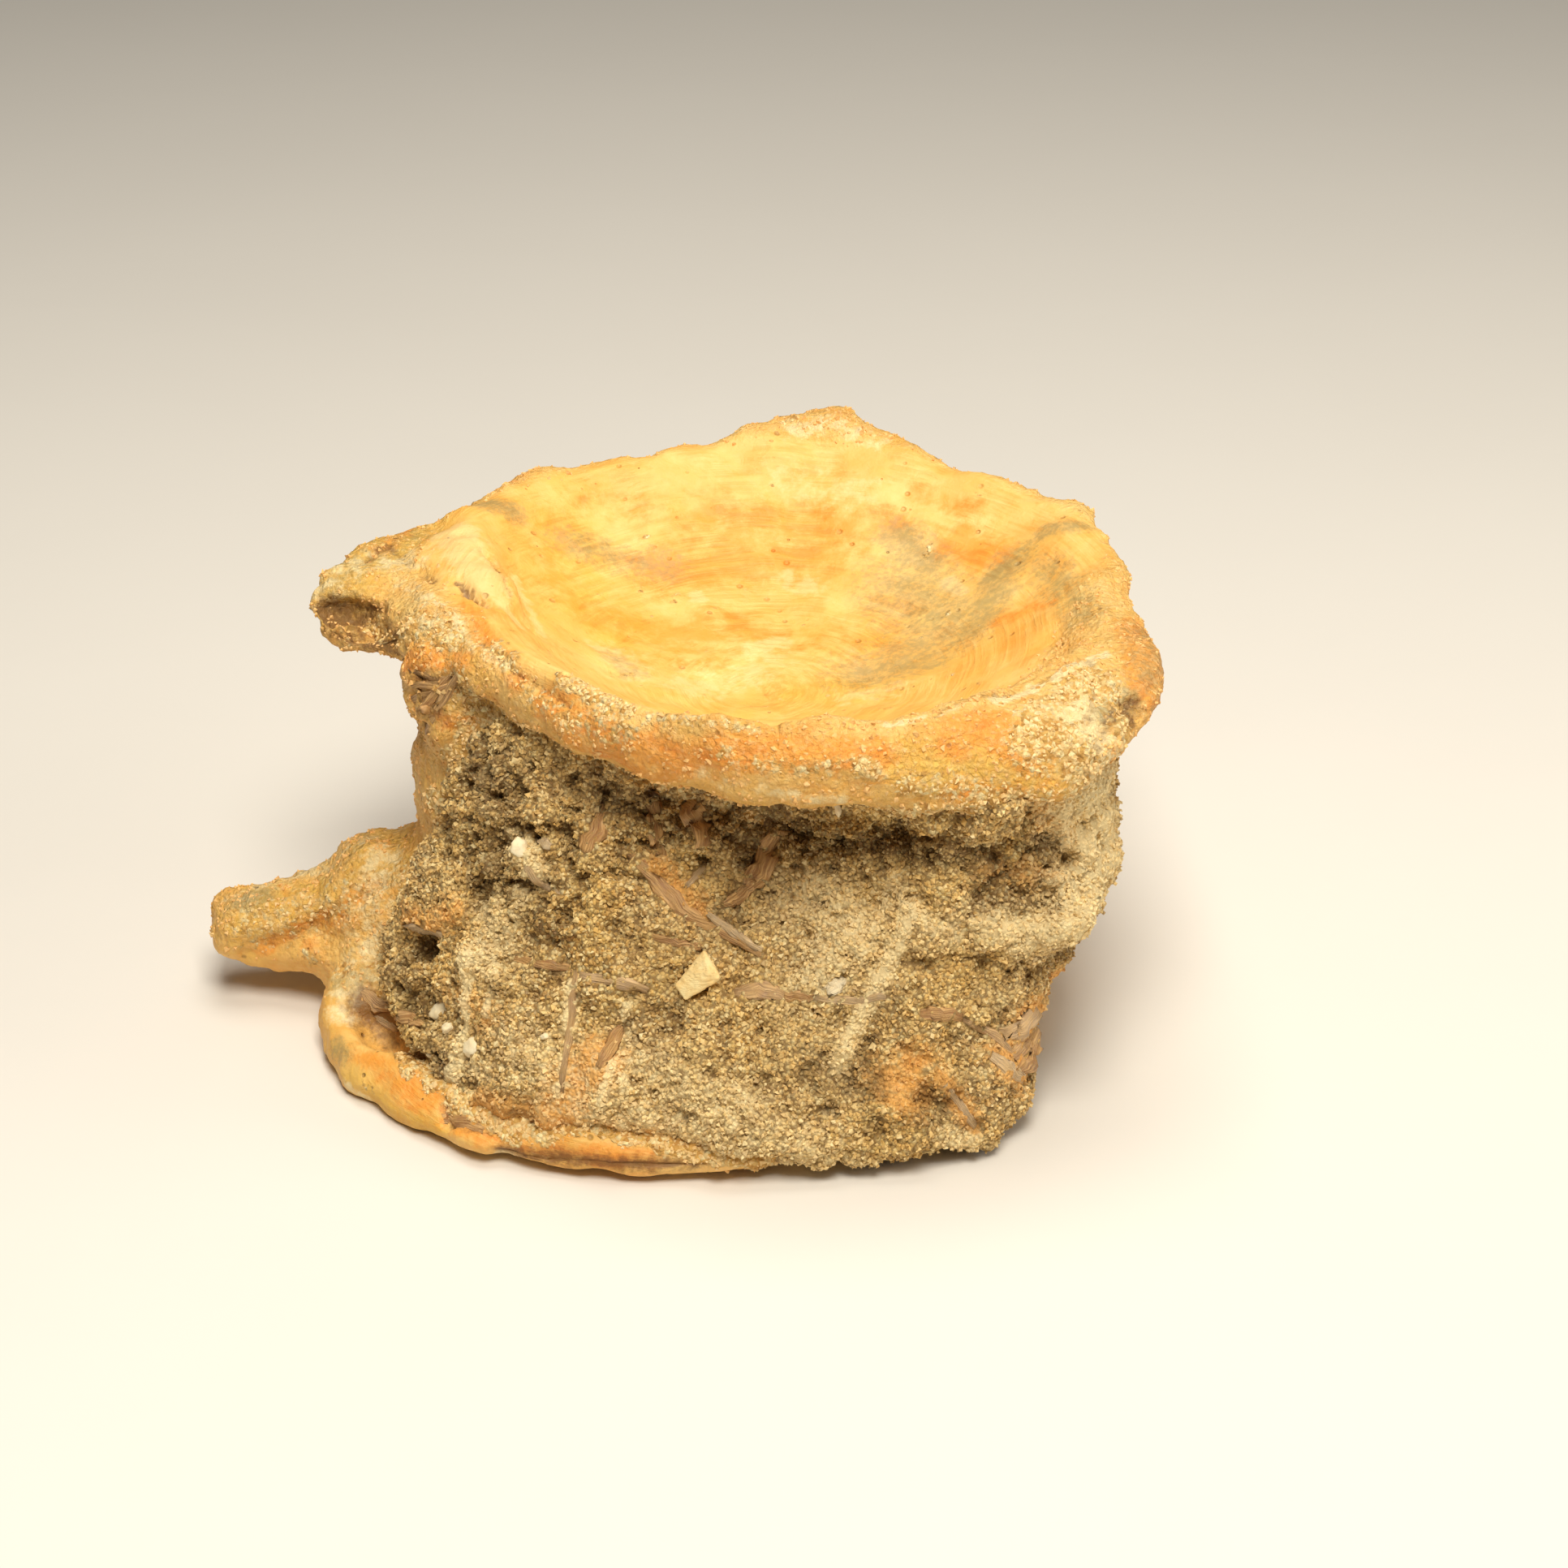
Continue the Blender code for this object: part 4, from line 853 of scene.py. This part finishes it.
def blend(part, first, second):
    """First value going over to the second as far as part says."""
    return Wire(put(part.tree, "Mix", {0: part, 2: first, 3: second}).outputs[0])


def tint(part, under, cover, kind="MIX"):
    """Colour laid over another as far as part says."""
    return Wire(put(part.tree, "Mix", {0: part, 6: under, 7: cover}, data_type="RGBA",
                    blend_type=kind).outputs[2])


def washes(shade, *layers):
    """Colours laid over a shade in turn, each as (colour, where, share)."""
    for cover, where, share in layers:
        shade = tint(where * share, shade, cover)
    return shade


def value_of(tree, name):
    """A number stored at the mesh's points."""
    return Wire(put(tree, "Attribute", attribute_name=name).outputs["Fac"])


def in_mm(tree):
    """Place on the object in mm."""
    spot = Wire(put(tree, "TexCoord").outputs["Object"])
    return Wire(put(tree, "VectorMath", {0: spot, "Scale": 1.0 / MM},
                    operation="SCALE").outputs[0])


def parts_of(vector):
    """X, Y and Z of a vector."""
    return [Wire(part) for part in put(vector.tree, "SeparateXYZ", {0: vector}).outputs]


def vector_of(*parts):
    """Vector from its X, Y and Z."""
    return Wire(put(parts[0].tree, "CombineXYZ", dict(enumerate(parts))).outputs[0])


def ramp(part, *stops):
    """Colour read from stops of (position, colour)."""
    node = put(part.tree, "ValToRGB", {"Fac": part})
    band = node.color_ramp.elements
    while len(band) < len(stops):
        band.new(0.5)
    for element, (position, shade) in zip(band, stops):
        element.position = position
        element.color = shade
    return Wire(node.outputs["Color"])


def stretch(value, low, high, to_low=0.0, to_high=1.0):
    """Value carried smoothly from one range to another."""
    ends = {"From Min": low, "From Max": high, "To Min": to_low, "To Max": to_high}
    return Wire(put(value.tree, "MapRange", {"Value": value, **ends},
                    interpolation_type="SMOOTHSTEP").outputs["Result"])


def noise_of(place, detail, roughness=0.5, **inputs):
    """Value of a Noise Texture, with a fourth dimension if W is given."""
    inputs |= {"Vector": place, "Detail": detail, "Roughness": roughness}
    return Wire(put(place.tree, "TexNoise", inputs,
                    noise_dimensions="4D" if "W" in inputs else "3D").outputs["Fac"])


def cells(place, spacing):
    """Distance to the nearest of many scattered points, and two random values of that point."""
    found = put(place.tree, "TexVoronoi", {"Vector": place, "Scale": 1.0 / spacing}).outputs
    chances = put(place.tree, "SeparateColor", {0: Wire(found["Color"])}).outputs
    return Wire(found["Distance"]), Wire(chances[0]), Wire(chances[1])


# ---- shared effects
def mottling_nodes(place, given):
    """Cloudy change of tone, with clouds of a given size in mm."""
    clouds = noise_of(place, 5.0, 0.6, Distortion=0.4, W=given["Seed"],
                      Scale=1.0 / given["Size"])
    return {"Tone": stretch(clouds, 0.3, 0.7)}


def ragged_patch_nodes(place, given):
    """Soft painted mark turned into a patch with a ragged edge."""
    mark, softness = given["Mark"], given["Softness"]
    tears = noise_of(place, 6.0, 0.65, Scale=1.0 / given["Size"]) - 0.5
    torn = mark + tears * (given["Raggedness"] * 6.0)
    return {"Patch": stretch(torn, 0.5 - softness, softness + 0.5) * stretch(mark, 0.0, 0.25)}


def packed_sand_nodes(place, given):
    """Packed grains of a given size in mm, each with a tone of its own."""
    distance, tone, _chance = cells(place, given["Grain"])
    return {"Tone": tone, "Height": stretch(distance, 0.75, 0.1),
            "Gap": stretch(distance, 0.45, 0.72)}


def pores_nodes(place, given):
    """Small pits of uneven size in some of the cells, spaced a given number of mm apart."""
    distance, _tone, chance = cells(place, given["Spacing"])
    size = given["Size"] * stretch(chance, 0.7, 1.0)
    return {"Pit": stretch(distance, size, size * 0.3) * reckon("GREATER_THAN", chance, 0.74)}


def growth_lines_nodes(place, given):
    """Fine lines round an upright axis, a given number of mm apart and long."""
    tree, spacing = place.tree, given["Spacing"]
    east, north, height = parts_of(Wire(put(tree, "VectorMath", {0: place, 1: given["Axis"]},
                                            operation="SUBTRACT").outputs[0]))
    reach = Wire(put(tree, "VectorMath", {0: vector_of(east, north)},
                     operation="LENGTH").outputs["Value"])
    arc = reckon("ARCTAN2", north, east) * LINE_CIRCLE
    unrolled = vector_of(reach / spacing, arc / given["Run"], height / spacing)
    return {"Line": stretch(noise_of(unrolled, 4.0, 0.6, Distortion=0.25, Scale=1.0), 0.3, 0.7)}


def effect(name, build, **inputs):
    """Shader node group with named sockets, around the nodes that build makes."""
    group = bpy.data.node_groups.new(name, "ShaderNodeTree")
    for label, value in inputs.items():
        kind = "NodeSocketVector" if isinstance(value, tuple) else "NodeSocketFloat"
        socket = group.interface.new_socket(label, in_out="INPUT", socket_type=kind)
        socket.default_value = value
    takes = group.nodes.new("NodeGroupInput").outputs
    made = build(in_mm(group), {label: Wire(takes[label]) for label in inputs})
    for label in made:
        group.interface.new_socket(label, in_out="OUTPUT", socket_type="NodeSocketFloat")
    gives = group.nodes.new("NodeGroupOutput").inputs
    for label, wire in made.items():
        group.links.new(wire.socket, gives[label])
    return group


MOTTLING = effect("mottling", mottling_nodes, Size=5.0, Seed=0.0)
RAGGED_PATCH = effect("ragged_patch", ragged_patch_nodes, Mark=0.0, Size=0.8, Raggedness=0.5,
                      Softness=0.15)
PACKED_SAND = effect("packed_sand", packed_sand_nodes, Grain=0.36)
PORES = effect("pores", pores_nodes, Spacing=0.9, Size=0.25)
GROWTH_LINES = effect("growth_lines", growth_lines_nodes, Axis=(0.0, 0.0, 0.0), Spacing=0.6,
                      Run=6.0)


def use(tree, group, **inputs):
    """Outputs by name of a shared effect placed in a material."""
    outputs = put(tree, "Group", inputs, node_tree=group).outputs
    return {output.name: Wire(output) for output in outputs}


def mottling(tree, size, seed):
    """Tone of clouds."""
    return use(tree, MOTTLING, Size=size, Seed=seed)["Tone"]


def growth_lines(tree, axis, spacing, run):
    """Tone of lines round an axis."""
    return use(tree, GROWTH_LINES, Axis=axis, Spacing=spacing, Run=run)["Line"]


def pores(tree, spacing, size):
    """1 in pits, 0 between them."""
    return use(tree, PORES, Spacing=spacing, Size=size)["Pit"]


def patch(tree, mark, size, ragged, soft):
    """Ragged patch from a mark stored on the mesh."""
    return use(tree, RAGGED_PATCH, Mark=value_of(tree, mark), Size=size, Raggedness=ragged,
               Softness=soft)["Patch"]


def new_finish(name):
    """Empty material, its tree and its shader."""
    finish = bpy.data.materials.new(name)
    finish.use_nodes = True
    return finish, finish.node_tree, finish.node_tree.nodes["Principled BSDF"]


def finish_off(shader, shade, roughness, relief):
    """Join colour, roughness and relief in mm to the shader."""
    tree = shade.tree
    bump = put(tree, "Bump", {"Height": relief, "Strength": 1.0, "Distance": MM})
    tree.links.new(shade.socket, shader.inputs["Base Color"])
    tree.links.new(roughness.socket, shader.inputs["Roughness"])
    tree.links.new(bump.outputs["Normal"], shader.inputs["Normal"])


# ---- finishes
def bone_lines(tree, low_down):
    """Growth lines round the cup, finer ones round the foot, worn away in patches."""
    lines = blend(low_down, growth_lines(tree, CUP_AXIS, spacing=0.42, run=9.0),
                  growth_lines(tree, FOOT_AXIS, spacing=0.26, run=12.0))
    worn = stretch(mottling(tree, size=4.0, seed=14.0), 0.35, 0.8)
    return blend(worn, lines, 0.8)


def bone_colours(tree, flecks, chalk):
    """Ochre bone with yellow, orange, chalky and grey patches."""
    clouds = mottling(tree, size=6.0, seed=1.0)
    return washes(tint(clouds, BONE_CREAM, BONE_OCHRE),
                  (BONE_YELLOW, flecks, 0.4),
                  (BONE_ORANGE, mottling(tree, size=2.6, seed=11.0), 0.25),
                  (BONE_YELLOW, patch(tree, "yellow", size=1.6, ragged=0.3, soft=0.4), 0.85),
                  (BONE_ORANGE, patch(tree, "orange", size=1.2, ragged=0.35, soft=0.4), 0.82),
                  (CHALK_WHITE, chalk, 1.0),
                  (BONE_GREY, patch(tree, "grey", size=1.1, ragged=0.3, soft=0.5), 0.42),
                  (BONE_GREY, patch(tree, "grey", size=0.4, ragged=0.6, soft=0.45), 0.4))


def bone_finish():
    """Ochre bone with growth lines, pores, stains and caked sand."""
    finish, tree, shader = new_finish("fossil_bone")
    cup = value_of(tree, "in_cup")
    flecks = mottling(tree, size=1.1, seed=2.0)
    fine = mottling(tree, size=0.35, seed=8.0)
    pits = pores(tree, spacing=1.1, size=0.26)
    grains = use(tree, PACKED_SAND, Grain=0.33)
    low_down = stretch(parts_of(in_mm(tree))[2], 6.0, 3.5)
    lines = bone_lines(tree, low_down)
    sand = patch(tree, "sand", size=0.5, ragged=0.4, soft=0.2)
    shade_and_stain = patch(tree, "shade_and_stain", size=0.6, ragged=0.25, soft=0.4)
    chalk = patch(tree, "chalk", size=0.9, ragged=0.35, soft=0.3) * (0.85 - cup * 0.52)
    rough_skin = (1.0 - cup) * (1.0 - low_down * 0.8)
    speckle = fine * rough_skin
    torn = stretch(fine, 0.6, 1.0) * value_of(tree, "broken") * 0.4
    sandy = ramp(grains["Tone"], (0.0, SAND_WARM), (0.3, SAND_STRAW), (1.0, SAND_LIGHT))
    # Darker between the grains of the caked sand: painted shade.
    sandy = washes(sandy, (SAND_WARM, grains["Gap"], 0.5))
    shade = bone_colours(tree, flecks, chalk)
    shade = tint((1.0 - lines) * (0.48 - chalk * 0.48), shade, BONE_BROWN, "SOFT_LIGHT")
    shade = washes(shade, (sandy, speckle, 0.3))
    shade = tint(torn, shade, BONE_BROWN, "SOFT_LIGHT")
    # BONE_BROWN in the pores, and as painted shade in hollows and cracks, except on the real flange
    # stain.
    shade = washes(shade, (BONE_BROWN, pits, 0.5 - cup * 0.3), (BONE_BROWN, shade_and_stain, 0.8),
                   (sandy, sand, 1.0))
    caked = reckon("MAXIMUM", sand, rough_skin * 0.5)
    relief = (lines * 0.04 - pits * 0.12 + flecks * 0.04 + speckle * 0.11
              + grains["Height"] * caked * 0.13)
    finish_off(shader, shade, stretch(sand, 0.0, 1.0, to_low=0.55, to_high=0.9), relief)
    return finish


def dusted(tree, shade):
    """Broad clouds of golden and pale dust over sand."""
    return washes(shade, (SAND_DUST, mottling(tree, size=3.5, seed=10.0), 0.42),
                  (SAND_PALE, mottling(tree, size=6.0, seed=12.0), 0.42))


def matrix_finish():
    """Bed of packed sand under the loose grains."""
    finish, tree, shader = new_finish("sandy_matrix")
    grains = use(tree, PACKED_SAND, Grain=0.27)
    clouds = mottling(tree, size=3.0, seed=3.0)
    flecks = mottling(tree, size=0.8, seed=9.0)
    rust = patch(tree, "rust", size=0.9, ragged=0.35, soft=0.3)
    painted_shade = patch(tree, "painted_shade", size=0.8, ragged=0.35, soft=0.4)
    chalk = patch(tree, "chalk", size=0.5, ragged=0.3, soft=0.25)
    shade = ramp(grains["Tone"], (0.0, SAND_DARK), (0.35, SAND_STRAW), (1.0, SAND_LIGHT))
    shade = washes(shade, (SAND_STRAW, flecks, 0.4), (SAND_DARK, clouds, 0.25))
    # Painted shade between the grains, less where rust or chalk cements them, and SAND_SHADE as
    # painted shade where it is marked.
    gap_shade = 0.7 - reckon("MAXIMUM", rust, chalk) * 0.5
    shade = washes(dusted(tree, shade), (SAND_RUST, rust, 0.7), (SAND_SHADE, painted_shade, 0.6),
                   (CHALK_WHITE, chalk, 0.7), (SAND_DARK, grains["Gap"], gap_shade))
    finish_off(shader, shade, stretch(chalk, 0.0, 1.0, to_low=0.85, to_high=0.95),
               grains["Height"] * 0.12 + clouds * 0.1 + flecks * 0.1)
    return finish


def grain_finish():
    """Sand grains from dark brown through straw to cream."""
    finish, tree, shader = new_finish("sand_grains")
    tone = value_of(tree, "tone")
    flecks = mottling(tree, size=0.3, seed=4.0)
    shade = ramp(tone, (0.0, SAND_DARK), (0.28, GRAIN_BROWN), (0.52, SAND_STRAW),
                 (0.76, GRAIN_PALE), (1.0, GRAIN_CREAM))
    # Grains in shaded places get SAND_SHADE as painted shade.
    shade = washes(dusted(tree, shade), (SAND_RUST, value_of(tree, "rust"), 0.7),
                   (SAND_SHADE, value_of(tree, "painted_shade"), 0.6),
                   (CHALK_WHITE, value_of(tree, "chalk"), 0.85), (SAND_STRAW, flecks, 0.25))
    finish_off(shader, shade, stretch(tone, 0.0, 1.0, to_low=0.55, to_high=0.8), flecks * 0.04)
    return finish


def shard_finish():
    """Splintered bone with fibres along it, pinkish brown to pale."""
    finish, tree, shader = new_finish("splintered_bone")
    tone = value_of(tree, "tone")
    run = vector_of(value_of(tree, "across") * 3.0, value_of(tree, "along") * 0.35, tone * 9.0)
    fibres = stretch(noise_of(run, 4.0, Scale=2.0), 0.3, 0.7)
    flecks = mottling(tree, size=0.7, seed=5.0)
    shade = tint(fibres, SHARD_BROWN, SHARD_PINK)
    shade = tint(stretch(tone, 0.2, 1.0), shade, SHELL_CREAM)
    shade = washes(shade, (SAND_STRAW, flecks, 0.3))
    finish_off(shader, shade, stretch(flecks, 0.0, 1.0, to_low=0.5, to_high=0.8),
               fibres * 0.06 + flecks * 0.04)
    return finish


def chip_finish():
    """Pale yellow chip, fibrous along its length."""
    finish, tree, shader = new_finish("pale_bone")
    clouds = mottling(tree, size=1.2, seed=6.0)
    pits = pores(tree, spacing=0.5, size=0.2)
    fibres = growth_lines(tree, FOOT_AXIS, spacing=0.2, run=2.0)
    shade = washes(tint(clouds, CHIP_STRAW, CHIP_CREAM), (BONE_BROWN, pits, 0.5))
    finish_off(shader, shade, stretch(clouds, 0.0, 1.0, to_low=0.55, to_high=0.75),
               fibres * 0.05 - pits * 0.06)
    return finish


def floor_finish():
    """Plain pale paper."""
    finish, tree, shader = new_finish("pale_floor")
    clouds = mottling(tree, size=40.0, seed=7.0)
    finish_off(shader, washes(PAPER, (PAPER_GREY, clouds, 0.3)),
               stretch(clouds, 0.0, 1.0, to_low=0.8, to_high=0.85), clouds * 0.01)
    return finish


# ---- studio
STAGE_MIDDLE = Vector((0.0, -6.0, 15.0))
# Each light: place and side in mm, watts, colour.
LIGHTS = dict(
    overhead=((10.0, 40.0, 335.0), 180.0, 0.58, (1.0, 0.95, 0.86)),
    front=((20.0, -170.0, 300.0), 130.0, 1.02, (1.0, 0.96, 0.88)),
    right=((320.0, -60.0, 140.0), 160.0, 0.34, (1.0, 0.96, 0.88)),
)
SKY_COLOUR = (1.0, 0.98, 0.95, 1.0)
SKY_STRENGTH = 0.08
FLOOR_HALF = 3000.0
FLOOR_DROP = 0.02  # keeps the floor clear of the foot


def area_light(name, place, side, watts, tone):
    """Square soft light turned to the middle of the stage."""
    lamp = bpy.data.lights.new(name, "AREA")
    lamp.size = side * MM
    lamp.energy = watts
    lamp.color = tone
    body = object_of(name, lamp)
    body.location = Vector(place) * MM
    body.rotation_euler = (Vector(place) - STAGE_MIDDLE).to_track_quat("Z", "Y").to_euler()


def lay_floor():
    """Wide floor just under the foot."""
    half = FLOOR_HALF * MM
    mesh = bpy.data.meshes.new("floor")
    mesh.from_pydata([(-half, -half, 0.0), (half, -half, 0.0), (half, half, 0.0),
                      (-half, half, 0.0)], [], [(0, 1, 2, 3)])
    mesh.materials.append(floor_finish())
    floor = object_of("floor", mesh)
    floor.location.z = -FLOOR_DROP * MM


def light_stage():
    """Soft lights and a faint sky."""
    scene = bpy.context.scene
    for name, light in LIGHTS.items():
        area_light(name, *light)
    scene.world = bpy.data.worlds.new("sky")
    scene.world.use_nodes = True
    sky = scene.world.node_tree.nodes["Background"].inputs
    sky["Color"].default_value = SKY_COLOUR
    sky["Strength"].default_value = SKY_STRENGTH
    scene.view_settings.view_transform = "Standard"


def stand_camera():
    """Camera at its stand, turned to its target."""
    lens = bpy.data.cameras.new("camera")
    lens.sensor_fit = "HORIZONTAL"
    lens.angle = 2.0 * math.atan(PICTURE_SIDE / 2 / (PIXELS_PER_MM * VIEW_DISTANCE))
    lens.clip_start = MM
    camera = object_of("camera", lens)
    stand, turn = camera_stand()
    camera.location = stand * MM
    camera.rotation_euler = turn.to_euler()
    bpy.context.scene.camera = camera


# ---- the whole
def lay_matrix_sand(matrix, stains, thick, bone_tree, bits, finish, draws):
    """Full bed of grains on the matrix, clear of the bone and of the bits in it."""
    where, facing, corner = scatter(matrix, thick, draws)
    keep = outside(where, bone_tree, BARE_BY_BONE)
    keep &= nearness(where, bits, BARE_ROUND_BITS) <= 0.0
    values = {name: stain[corner[keep]] for name, stain in stains.items()}
    sand_pieces("matrix_sand", where[keep], facing[keep], values, finish, draws,
                darkest=0.0, proud=0.7)


def lay_clinging_sand(bone, sand, stray, solids, finish, draws):
    """Grains where sand cakes the bone, pale, and stray ones elsewhere, rusty."""
    amount = np.maximum(0.7 * ease(sand, 0.35, 0.9), stray)
    where, facing, corner = scatter(bone, amount, draws)
    alone = ease(sand[corner], 0.5, 0.2)
    # Grains in these hollows get painted shade and less chalk.
    painted_shade = painted(where, SHADED_SAND_MARKS, solids)
    values = {"chalk": (0.5 - 0.3 * alone) * (1.0 - painted_shade), "rust": 0.5 + 0.5 * alone,
              "painted_shade": painted_shade}
    sand_pieces("clinging_sand", where, facing, values, finish, draws,
                darkest=0.42, proud=0.1)


def dress_chip():
    """Fine skin of the loose chip, slightly uneven."""
    chip = fine_skin("chip_skin", "bone_chip", CHIP_VOXEL, CHIP_EASING)
    spots = places(chip)
    relief = 0.05 * unevenness(spots, size=0.5, seed=8)
    put_places(chip, spots + outward(chip) * relief[:, None])
    dress(chip, "bone_chip", chip_finish())


def dress_vertebra():
    """Every piece that shows, in the order of the random draws."""
    draws = np.random.default_rng(RANDOM_SEED)
    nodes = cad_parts
    solids = solid_tree(*(nodes[name] for name in ("vertebra", "matrix", "bone_chip")))
    bone = fine_skin("vertebra_skin", "vertebra", BONE_VOXEL, SKIN_EASING)
    matrix = fine_skin("matrix_skin", "matrix", MATRIX_VOXEL, SKIN_EASING)
    sand, stray = shape_bone(bone, solids, solid_tree(nodes["matrix"]))
    bone_tree = solid_tree(bone)
    stains, thick = shape_matrix(matrix, solids, bone_tree)
    dress(bone, "vertebra", bone_finish())
    dress(matrix, "matrix", matrix_finish())
    shown = solid_tree(bone, matrix)
    splinters = shard_finish()
    bits = solid_tree(bone_shards(shown, splinters, draws), nodules(shown, splinters, draws))
    loose = grain_finish()
    lay_matrix_sand(matrix, stains, thick, bone_tree, bits, loose, draws)
    lay_clinging_sand(bone, sand, stray, solids, loose, draws)
    dress_chip()


dress_vertebra()
lay_floor()
light_stage()
stand_camera()
bpy.context.view_layer.update()
